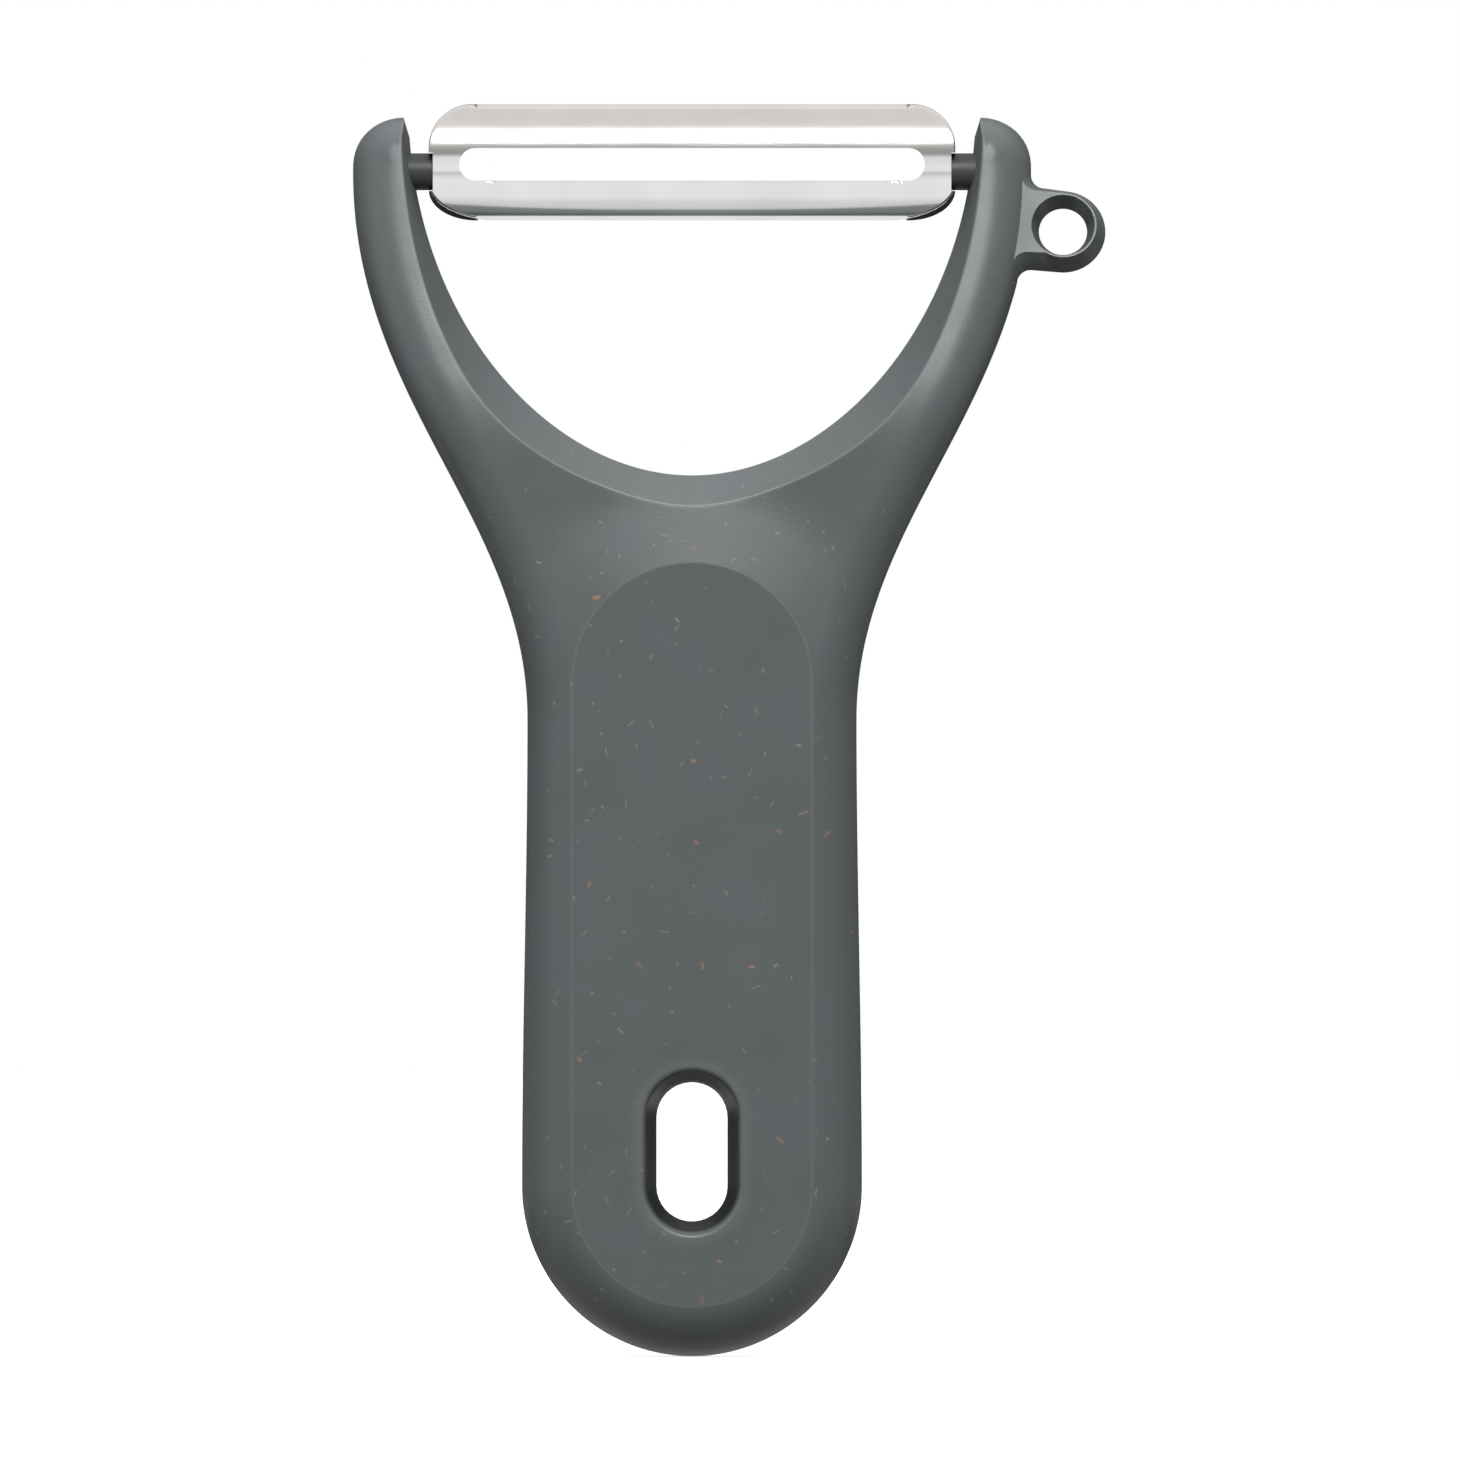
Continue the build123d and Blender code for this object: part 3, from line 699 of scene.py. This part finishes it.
def plastic(name, colour, grain_depth, roughness):
    """A matte moulded plastic. Gives its wiring, its places in mm, its grain and its shader."""
    material = bpy.data.materials.new(name)
    material.use_nodes = True
    wires = Wiring(material.node_tree)
    shader = material.node_tree.nodes["Principled BSDF"]
    place = wires.scaled(wires.node("ShaderNodeTexCoord").outputs["Object"], 1 / mm)
    grain = wires.node("ShaderNodeGroup", node_tree=grain_group)
    wires.tree.links.new(place, grain.inputs["Place"])
    grain.inputs["Depth"].default_value = grain_depth
    bump = wires.node("ShaderNodeBump", {"Height": grain.outputs["Height"], "Distance": mm, "Strength": 1.0})
    wires.tree.links.new(bump.outputs["Normal"], shader.inputs["Normal"])
    rough = wires.ease(grain.outputs["Cloud"], 0.3, 0.7, roughness - 0.03, roughness + 0.03)
    wires.tree.links.new(rough, shader.inputs["Roughness"])
    shader.inputs["Base Color"].default_value = colour
    shader.inputs["IOR"].default_value = 1.5
    return material, wires, place, grain, shader


handle_plastic, wires, place, grain, shader = plastic("handle_plastic", plastic_colour, 0.012, 0.42)
axes = wires.node("ShaderNodeSeparateXYZ", {"Vector": place}).outputs
facing = wires.node("ShaderNodeSeparateXYZ", {"Vector": wires.node("ShaderNodeNewGeometry").outputs["Normal"]})
on_side = wires.math("LESS_THAN", wires.math("ABSOLUTE", facing.outputs["Y"]), 0.5)
turned_by = wires.math("MULTIPLY", on_side, wires.math("SUBTRACT", axes["Y"], axes["X"]))
seen_across = wires.math("ADD", axes["X"], turned_by)
flat_place = wires.node("ShaderNodeCombineXYZ", {"X": seen_across, "Y": axes["Z"]}).outputs[0]
fading = wires.ease(axes["Z"], 62.0, 82.0, 1.0, 0.18)
shade = wires.ease(grain.outputs["Cloud"], 0.3, 0.7, 0.0, 1.0)
cool = tuple(part * share for part, share in zip(plastic_colour, (1.03, 1.03, 1.07, 1)))
warm = tuple(part * share for part, share in zip(plastic_colour, (0.97, 0.99, 0.95, 1)))
colour = wires.mix(shade, warm, cool)
for cell, share, length, width, bow, seed, tint in fibres:
    sizes = {"Place": flat_place, "Cell": cell, "Share": share, "Length": length,
             "Width": width, "Bend": bow, "Seed": seed}
    fleck = wires.node("ShaderNodeGroup", node_tree=fibre_group)
    for socket, value in sizes.items():
        if isinstance(value, bpy.types.NodeSocket):
            wires.tree.links.new(value, fleck.inputs[socket])
        else:
            fleck.inputs[socket].default_value = value
    colour = wires.mix(wires.math("MULTIPLY", fleck.outputs["Mask"], fading), colour, tint)
wear_and_painted_light_factor = wires.node("ShaderNodeAttribute", attribute_name="edge_wear_and_painted_light").outputs["Fac"]
# Marked edges are painted lighter, partly wear and partly a painted highlight.
colour = wires.mix(wires.math("MULTIPLY", wear_and_painted_light_factor, 0.55, clamp=True), colour, wear_and_highlight_colour)
# The slot's walls are painted near-black: painted shade where little light reaches.
colour = wires.mix(wires.math("MULTIPLY", wear_and_painted_light_factor, -0.9, clamp=True), colour, slot_painted_shade_colour)
wires.tree.links.new(colour, shader.inputs["Base Color"])
drilled.materials.append(handle_plastic)

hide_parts("handle")
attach(handle, "handle_body")


# Blade. A strip of stainless sheet, cut out flat with its cutting slot, ground along both long edges and
# the slot's lower edge, and pressed into a shallow channel that is hollow towards the back.
blade_half = 29.0
blade_rise = 6.4           # half of the blade's height
blade_lift = 1.05          # of the channel's middle above the swivel axis
blade_crown = 2.75         # from the swivel axis to the channel's front
channel_radius = 9.0
sheet = 0.55
land = 0.06                # left at a ground edge
ground = 0.5               # width of a ground outer edge
slot_ground = 0.25         # and of the slot's lower edge, which is hard to see
ground_half = 23.65        # half of the outer ground edges' length
fade = 0.75                # length over which they run out
slot_fade = 2.4            # and over which the slot's runs out
upper_corner = 4.8
lower_corner = (7.5, 4.0)
end_round = 0.3            # of the ends' front edges
slot_radius = 1.8
slot_reach = 23.85         # from the middle to the centre of the slot's round end
slot_drop = 0.25           # of the slot below the channel's middle
notch_depth = 0.45
notch_half = 2.135
channel_back = blade_crown - channel_radius - swivel_back
channel_height = swivel_height + blade_lift

notch_top = notch_half - blade_lift
notch_low = -notch_half - blade_lift


def ends_line(inset, low_size, count=26):
    """The right end, seen from the front: its upper corner, its side and its lower corner."""
    low_width, low_height = low_size
    upper = arc((blade_half - upper_corner, blade_rise - upper_corner), upper_corner - inset, 90, 0, count)
    lower = arc((0, 0), 1, 0, -90, count) * (low_width - inset, low_height - inset)
    return upper, lower + (blade_half - low_width, low_height - blade_rise)


def sheet_thickness(places):
    """What grinding and rounding leave of the sheet, at places given across and up its middle."""
    across, rise = np.abs(places[:, 0]), places[:, 1]
    run_out = np.maximum(0, across - ground_half) / fade * sheet
    outer = land + (blade_rise - np.abs(rise)) / ground * (sheet - land) + run_out
    slot_edge = -slot_drop - slot_radius
    slot_run_out = np.maximum(0, across - slot_reach + slot_fade) / slot_fade * sheet
    inner = land + (slot_edge - rise) / slot_ground * (sheet - land) + slot_run_out
    inner = np.where(rise <= slot_edge + 1e-6, inner, sheet)
    dense = evenly(np.concatenate(ends_line(0, lower_corner)), 0.02)
    dense = dense[dense[:, 0] > ground_half]
    tree = KDTree(len(dense))
    for index, point in enumerate(dense):
        tree.insert((*point, 0), index)
    tree.balance()
    inside = np.array([tree.find((x, z, 0))[2] for x, z in zip(across, rise)])
    short = np.clip(1 - inside / end_round, 0, 1)
    ends = sheet - end_round * (1 - np.sqrt(1 - short**2)) * 0.8
    return np.clip(np.minimum(np.minimum(outer, inner), ends), land, sheet)


def mirrored_row(places):
    return (places * (-1, 1))[::-1]


def blade_drawing():
    """The flat blank: its outline, slot, ground edges and a lattice of places between them."""
    drawing = Drawing()

    def draw(places, **kind):
        drawing.add(places, sheet_thickness(np.asarray(places, float)), **kind)

    upper, lower = ends_line(0, lower_corner)
    lower = lower[lower[:, 1] < notch_low]
    notch_in = blade_half - notch_depth
    lower_x = lower[0, 0]
    notch = np.array([(blade_half, notch_top), (notch_in, notch_top), (notch_in, notch_low), (lower_x, notch_low)])
    right = np.concatenate([upper, notch, lower])
    across = np.arange(-ground_half, ground_half + 0.1, ground_half / 20)
    top = np.stack([across, np.full(len(across), blade_rise)], 1)
    lowest = across[np.abs(across) < blade_half - lower_corner[0] - 0.3][::-1]
    bottom = np.stack([lowest, np.full(len(lowest), -blade_rise)], 1)
    draw(np.concatenate([top, right, bottom, mirrored_row(right)]), line=True, closed=True)
    for inset in (0.05, 0.13, 0.22, end_round):
        upper, lower = ends_line(inset, lower_corner)
        for row in (upper[1:], lower[(lower[:, 1] < notch_low - 0.05) & (lower[:, 0] > ground_half + 0.1)]):
            draw(row, line=True)
            draw(mirrored_row(row), line=True)
    slot = np.concatenate([
        arc((slot_reach, -slot_drop), slot_radius, -90, 90, 33),
        arc((-slot_reach, -slot_drop), slot_radius, 90, 270, 33),
    ])
    slot = evenly(np.concatenate([slot, slot[:1]]), 0.35)[:-1]
    draw(slot, line=True, closed=True)
    for rise in (blade_rise - ground, ground - blade_rise):
        draw(np.stack([across, np.full(len(across), rise)], 1), line=True, apart=0.02)
    slot_line = across[np.abs(across) < slot_reach - 0.8]
    draw(np.stack([slot_line, np.full(len(slot_line), -slot_drop - slot_radius - slot_ground)], 1), line=True)
    x, rise = np.meshgrid(np.arange(-28.8, 28.9, 0.9), np.arange(-5.7, 5.8, 0.38), indexing="ij")
    fill = np.stack([x.ravel(), rise.ravel()], 1)
    outline = np.concatenate([top, right, bottom, mirrored_row(right)])
    beyond = np.maximum(0, np.abs(fill[:, 0]) - slot_reach)
    in_slot = np.hypot(beyond, fill[:, 1] + slot_drop) < slot_radius + 0.12
    off_edge = np.abs(fill[:, 1] + slot_drop + slot_radius)
    near_slot = (np.abs(fill[:, 0]) < slot_reach) & (off_edge < slot_ground + 0.1)
    fill = fill[within(outline, fill) & ~in_slot & ~near_slot]
    draw(fill, apart=0.2)
    return drawing


def sheet_mesh(name, places, faces, front, back):
    """A closed mesh from a front and a back seen as the same triangles, with walls round them."""
    count = len(places)
    edges = {(int(a), int(b)) for face in faces for a, b in zip(face, np.roll(face, -1))}
    rims = [edge for edge in edges if edge[::-1] not in edges]
    walls = [(end, start, start + count, end + count) for start, end in sorted(rims)]
    corners = np.concatenate([np.stack([places[:, 0], -depth, places[:, 1]], 1) for depth in (front, back)])
    mesh = bpy.data.meshes.new(name)
    every = faces.tolist() + (faces[:, ::-1] + count).tolist() + walls
    mesh.from_pydata((corners * mm).tolist(), [], every)
    return mesh


def in_cutting_slot(places):
    across = np.maximum(0, np.abs(places[:, 0]) - slot_reach)
    return np.hypot(across, places[:, 1] + slot_drop) < slot_radius * 0.999


places, thickness, wear_and_painted_light, faces = blade_drawing().triangles([
    in_cutting_slot,
    lambda places: (np.abs(places[:, 0]) > blade_half - notch_depth)
    & (places[:, 1] > notch_low) & (places[:, 1] < notch_top),
])
blank = sheet_mesh("steel_blank", places, faces, thickness, np.zeros(len(places)))


def front_normals():
    """Normals of the pressed front at each corner of its triangles, from the slopes of its thickness."""
    corners = places[faces].reshape(-1, 2)
    middles = np.repeat(places[faces].mean(axis=1), 3, axis=0)
    inside = corners * 0.7 + middles * 0.3
    step = 0.002
    slopes = [
        (sheet_thickness(inside + (dx, dz)) - sheet_thickness(inside - (dx, dz))) / (2 * step)
        for dx, dz in ((step, 0), (0, step))
    ]
    radius = channel_radius - sheet + thickness[faces].reshape(-1)
    ahead = np.sqrt(radius**2 - corners[:, 1] ** 2)
    normals = np.stack([-slopes[0], -ahead / radius, corners[:, 1] / radius - slopes[1]], 1)
    return normals / np.linalg.norm(normals, axis=1, keepdims=True)


# The steel is rolled bright, with a faint lengthwise grain.
steel = bpy.data.materials.new("blade_steel")
steel.use_nodes = True
wires = Wiring(steel.node_tree)
shader = steel.node_tree.nodes["Principled BSDF"]
shader.inputs["Metallic"].default_value = 1.0
place = wires.scaled(wires.node("ShaderNodeTexCoord").outputs["Object"], 1 / mm)
long_place = wires.vector("MULTIPLY", place, (0.06, 5.0, 5.0))
lines = wires.noise(long_place, 2.4, 4.0)
wires.tree.links.new(wires.ease(lines, 0.25, 0.75, 0.11, 0.14), shader.inputs["Roughness"])
cloud = wires.noise(place, 0.15, 2.0)
steel_tints = ((0.82, 0.815, 0.80, 1), (0.87, 0.865, 0.855, 1))
steel_colour = wires.mix(wires.ease(cloud, 0.3, 0.7, 0.0, 1.0), *steel_tints)
wires.tree.links.new(steel_colour, shader.inputs["Base Color"])

press = bpy.data.node_groups.new("press into channel", "GeometryNodeTree")
press.interface.new_socket("Geometry", in_out="OUTPUT", socket_type="NodeSocketGeometry")
press.interface.new_socket("Geometry", in_out="INPUT", socket_type="NodeSocketGeometry")
press_sizes = {
    "Inner radius": (channel_radius - sheet) * mm,
    "Axis back": -channel_back * mm,
    "Axis height": channel_height * mm,
}
for name, value in press_sizes.items():
    press.interface.new_socket(name, in_out="INPUT", socket_type="NodeSocketFloat").default_value = value
press.interface.new_socket("Steel", in_out="INPUT", socket_type="NodeSocketMaterial")
wires = Wiring(press)
given = press.nodes.new("NodeGroupInput").outputs
position = press.nodes.new("GeometryNodeInputPosition").outputs[0]
at = wires.node("ShaderNodeSeparateXYZ", {"Vector": position}).outputs
radius = wires.math("SUBTRACT", given["Inner radius"], at["Y"])
hollow = wires.math("SUBTRACT", wires.math("POWER", radius, 2.0), wires.math("POWER", at["Z"], 2.0))
hollow = wires.math("SQRT", hollow)
moved = wires.node("ShaderNodeCombineXYZ", {
    "X": at["X"],
    "Y": wires.math("SUBTRACT", given["Axis back"], hollow),
    "Z": wires.math("ADD", given["Axis height"], at["Z"]),
}).outputs[0]
bent = wires.node("GeometryNodeSetPosition", {"Geometry": given["Geometry"], "Position": moved}).outputs[0]
real = wires.node("GeometryNodeRealizeInstances", {"Geometry": bent}).outputs[0]
dressed = wires.node("GeometryNodeSetMaterial", {"Geometry": real, "Material": given["Steel"]}).outputs[0]
press.links.new(dressed, press.nodes.new("NodeGroupOutput").inputs["Geometry"])

blade = bpy.data.objects.new("steel_blade", blank)
bpy.context.collection.objects.link(blade)
pressing = blade.modifiers.new("press into channel", "NODES")
pressing.node_group = press
identifiers = {item.name: item.identifier for item in press.interface.items_tree if item.in_out == "INPUT"}
for name, value in press_sizes.items():
    pressing[identifiers[name]] = value
pressing[identifiers["Steel"]] = steel
blade_mesh = bpy.data.meshes.new_from_object(blade.evaluated_get(bpy.context.evaluated_depsgraph_get()))
blade.modifiers.clear()
blade.data = blade_mesh
if not blade_mesh.materials:
    blade_mesh.materials.append(steel)
blade_mesh.polygons.foreach_set("use_smooth", np.ones(len(blade_mesh.polygons), bool))
blade_mesh.set_sharp_from_angle(angle=math.radians(32))
normals = np.zeros((len(blade_mesh.loops), 3))
count = 3 * len(faces)
normals[:count] = front_normals()
for loop in range(count, 2 * count):
    corner = blade_mesh.vertices[blade_mesh.loops[loop].vertex_index].co
    normals[loop] = -Vector((0, corner.y + channel_back * mm, corner.z - channel_height * mm)).normalized()
blade_mesh.normals_split_custom_set(normals.tolist())
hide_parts("blade")
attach(blade, "blade_unit")


# Trunnions. A dark grey plug fills each end of the channel, and shows as a thin crescent beyond the
# steel's lower corner. Its stub is the journal that turns in the arm's bore.
plug_start = 26.0
foot_start = 23.6          # of the plug's foot, along the channel's lower edge
foot_top = -3.0            # from the channel's middle
plug_corner = (5.2, 3.3)   # the lower one, which shows beyond the steel's
plug_front = channel_radius - sheet - 0.02
plug_back = 1.0
journal_radius = 2.035
journal_start = 28.2
journal_end = 34.1
journal_chamfer = 0.25

stub_grey = (0.028, 0.031, 0.032, 1)
trunnion_plastic, wires, place, grain, shader = plastic("trunnion_plastic", stub_grey, 0.006, 0.5)


def plug_places():
    """The right plug's outline, seen from the front."""
    upper, lower = ends_line(0, plug_corner, 40)
    upper, lower = upper[upper[:, 0] > plug_start + 0.1], lower[lower[:, 1] < notch_low]
    reach = math.sqrt(upper_corner**2 - (plug_start - blade_half + upper_corner) ** 2) + blade_rise - upper_corner
    notch_in = blade_half - notch_depth
    notch = [(blade_half, notch_top), (notch_in, notch_top), (notch_in, notch_low)]
    notch += [(lower[0, 0], notch_low)]
    foot = np.linspace((foot_start, -blade_rise), (foot_start, foot_top), 10)
    inner_end = np.linspace((plug_start, foot_top), (plug_start, reach), 25)
    return np.concatenate([inner_end, upper, notch, lower, foot])


def plug_mesh():
    """Corners and faces of the right trunnion."""
    outline = plug_places()
    drawing = Drawing()
    drawing.add(outline, 0.0, line=True, closed=True)
    x, rise = np.meshgrid(np.arange(foot_start, blade_half, 0.5), np.arange(-6, 6.1, 0.4), indexing="ij")
    fill = np.stack([x.ravel(), rise.ravel()], 1)
    drawing.add(fill[within(outline, fill)], 0.0, apart=0.15)
    places, forward, wear_and_painted_light, faces = drawing.triangles([lambda places: ~within(outline, places)])
    front = np.sqrt(plug_front**2 - places[:, 1] ** 2) + channel_back
    back = np.full(len(places), -plug_back - swivel_back)
    return sheet_mesh("plug", places + (0, channel_height), faces, front, back)


plug = plug_mesh()
plug_corners = [tuple(vertex.co) for vertex in plug.vertices]
plug_faces = [list(polygon.vertices) for polygon in plug.polygons]
stub_profile = [(journal_start, journal_radius), (29.5, journal_radius), (32.0, journal_radius),
                (journal_end - journal_chamfer, journal_radius), (journal_end, journal_radius - journal_chamfer)]
stub_corners, stub_faces = turned(stub_profile)
plug_faces += [[corner + len(plug_corners) for corner in face] for face in stub_faces]
plug_corners = np.array(plug_corners + stub_corners.tolist())
for name, side in (("trunnion_right", 1), ("trunnion_left", -1)):
    mesh = bpy.data.meshes.new("plug_" + name)
    mesh.from_pydata((plug_corners * (side, 1, 1)).tolist(), [], [face[::side] for face in plug_faces])
    mesh.materials.append(trunnion_plastic)
    mesh.polygons.foreach_set("use_smooth", np.ones(len(mesh.polygons), bool))
    mesh.set_sharp_from_angle(angle=math.radians(32))
    piece = bpy.data.objects.new("plug_" + name, mesh)
    bpy.context.collection.objects.link(piece)
    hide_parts(name)
    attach(piece, "blade_unit")


# Studio. A white floor and surroundings, a soft lamp above the camera, weak ones at each side and a
# large one behind, which reflections leave out. Polished steel sees bands of its own, set by height, and strips of
# painted reflection that glow on the floor for reflections only.
frame_width = 160.6
camera_distance = 5000.0
camera_place = (4.18, -camera_distance, 46.4)

camera_data = bpy.data.cameras.new("camera")
camera_data.sensor_width = 36
camera_data.lens = 36 * camera_distance / frame_width
camera = bpy.data.objects.new("camera", camera_data)
camera.location = Vector(camera_place) * mm
camera.rotation_euler = (math.radians(90), 0, 0)
bpy.context.collection.objects.link(camera)
bpy.context.scene.camera = camera

world = bpy.data.worlds.new("studio")
world.use_nodes = True
wires = Wiring(world.node_tree)
direction = wires.node("ShaderNodeTexCoord").outputs["Generated"]
direction = wires.node("ShaderNodeSeparateXYZ", {"Vector": direction}).outputs
bands = wires.node("ShaderNodeValToRGB", {"Fac": direction["Z"]})
band_stops = (             # elevation in degrees, and the studio's colour there
    (0, (0.83, 0.83, 0.84)), (8, (0.84, 0.83, 0.84)), (11, (0.30, 0.29, 0.28)), (26, (0.36, 0.35, 0.34)),
    (32, (1.05, 1.05, 1.04)), (46, (1.08, 1.08, 1.07)), (51, (0.70, 0.675, 0.65)), (90, (0.70, 0.675, 0.65)),
)
stops = bands.color_ramp.elements
while len(stops) < len(band_stops):
    stops.new(0.5)
for stop, (elevation, colour) in zip(stops, band_stops):
    stop.position = math.sin(math.radians(elevation))
    stop.color = (*colour, 1)
beside = wires.ease(wires.math("ABSOLUTE", direction["X"]), 0.5, 0.75, 0.0, 1.0)
behind = wires.mix(beside, (0.03, 0.03, 0.03, 1), (0.3, 0.3, 0.3, 1))
behind = wires.mix(wires.ease(direction["Z"], 0.55, 0.69, 0.0, 1.0), behind, (0.85, 0.83, 0.83, 1))
reflected = wires.mix(wires.ease(direction["Y"], -0.3, 0.3, 0.0, 1.0), bands.outputs["Color"], behind)
overhead = wires.ease(direction["Z"], 0.5, 1.0, 0.05, 3.0)
ray = wires.node("ShaderNodeLightPath").outputs
shown = wires.mix(ray["Is Glossy Ray"], overhead, reflected)
seen_plain = wires.math("MAXIMUM", ray["Is Camera Ray"], ray["Is Transmission Ray"])
shown = wires.mix(seen_plain, shown, (1, 1, 1, 1))
world.node_tree.links.new(shown, world.node_tree.nodes["Background"].inputs["Color"])
bpy.context.scene.world = world

lamps = (                  # name, direction in degrees (round, up), distance, width, height, power
    ("key", 6, 40, 1000, 400, 180, 6.8),
    ("left", -70, 15, 900, 500, 500, 0.7),
    ("right", 75, 10, 900, 500, 500, 0.1),
    ("back", 185, 10, 1000, 1100, 800, 9.0),
)
aim = Vector((0, 0, 60)) * mm
for name, round_angle, up_angle, distance, width, height, power in lamps:
    lamp = bpy.data.lights.new(name, "AREA")
    lamp.energy = power
    lamp.shape = "RECTANGLE"
    lamp.size = width * mm
    lamp.size_y = height * mm
    lamp_object = bpy.data.objects.new(name, lamp)
    turn, rise = math.radians(round_angle), math.radians(up_angle)
    away = Vector((math.sin(turn) * math.cos(rise), -math.cos(turn) * math.cos(rise), math.sin(rise)))
    lamp_object.location = aim + away * distance * mm
    lamp_object.rotation_euler = away.to_track_quat("Z", "Y").to_euler()
    lamp_object.visible_glossy = name != "back"
    bpy.context.collection.objects.link(lamp_object)

floor_half = 4000.0
floor_mesh = bpy.data.meshes.new("floor")
floor_signs = ((-1, -1), (1, -1), (1, 1), (-1, 1))
floor_corners = [(x * floor_half * mm, y * floor_half * mm, -grip_end * mm) for x, y in floor_signs]
floor_mesh.from_pydata(floor_corners, [], [(0, 1, 2, 3)])
floor = bpy.data.objects.new("floor", floor_mesh)
bpy.context.collection.objects.link(floor)
paper = bpy.data.materials.new("white_paper")
paper.use_nodes = True
wires = Wiring(paper.node_tree)
shader = paper.node_tree.nodes["Principled BSDF"]
shader.inputs["Roughness"].default_value = 0.9
ray = wires.node("ShaderNodeLightPath").outputs
ahead = wires.math("MULTIPLY", wires.node("ShaderNodeSeparateXYZ", {
    "Vector": wires.node("ShaderNodeTexCoord").outputs["Object"],
}).outputs["Y"], -1.0)
strips_behind = 0.3        # metres from the handle back to the line that the strips are measured from
reflection_strips = wires.node("ShaderNodeValToRGB", {"Fac": wires.math("ADD", ahead, strips_behind)})
reflection_strip_stops = (            # metres ahead of a line behind the handle, and how bright the floor's painted reflection strip glows there
    (0.1, 0.05), (0.13, 0.86), (0.19, 0.86), (0.21, 0.05), (0.26, 0.05), (0.3, 0.68), (0.37, 0.68), (0.4, 0.86),
    (0.59, 0.86), (0.72, 0.62), (0.81, 0.40), (0.83, 0.42), (0.86, 0.83),
)
stops = reflection_strips.color_ramp.elements
while len(stops) < len(reflection_strip_stops):
    stops.new(0.5)
for stop, (distance, level) in zip(stops, reflection_strip_stops):
    stop.position = distance
    stop.color = (level, level, level, 1)
# The floor is white to the camera, nearly black to bounced light, and glows in painted reflection strips for glossy
# rays.
own = wires.mix(ray["Is Camera Ray"], (0.08, 0.08, 0.08, 1), (0.6, 0.6, 0.6, 1))
own = wires.mix(ray["Is Glossy Ray"], own, (0, 0, 0, 1))
wires.tree.links.new(own, shader.inputs["Base Color"])
emitted = wires.mix(ray["Is Camera Ray"], (0, 0, 0, 1), (0.6, 0.6, 0.6, 1))
emitted = wires.mix(ray["Is Glossy Ray"], emitted, reflection_strips.outputs["Color"])
wires.tree.links.new(emitted, shader.inputs["Emission Color"])
shader.inputs["Emission Strength"].default_value = 1.0
floor_mesh.materials.append(paper)
floor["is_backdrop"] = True

bpy.context.scene.view_settings.view_transform = "Standard"

seen_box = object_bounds()
sizes = {"cad": [list(corner) for corner in cad_box], "visual": [list(corner) for corner in seen_box]}
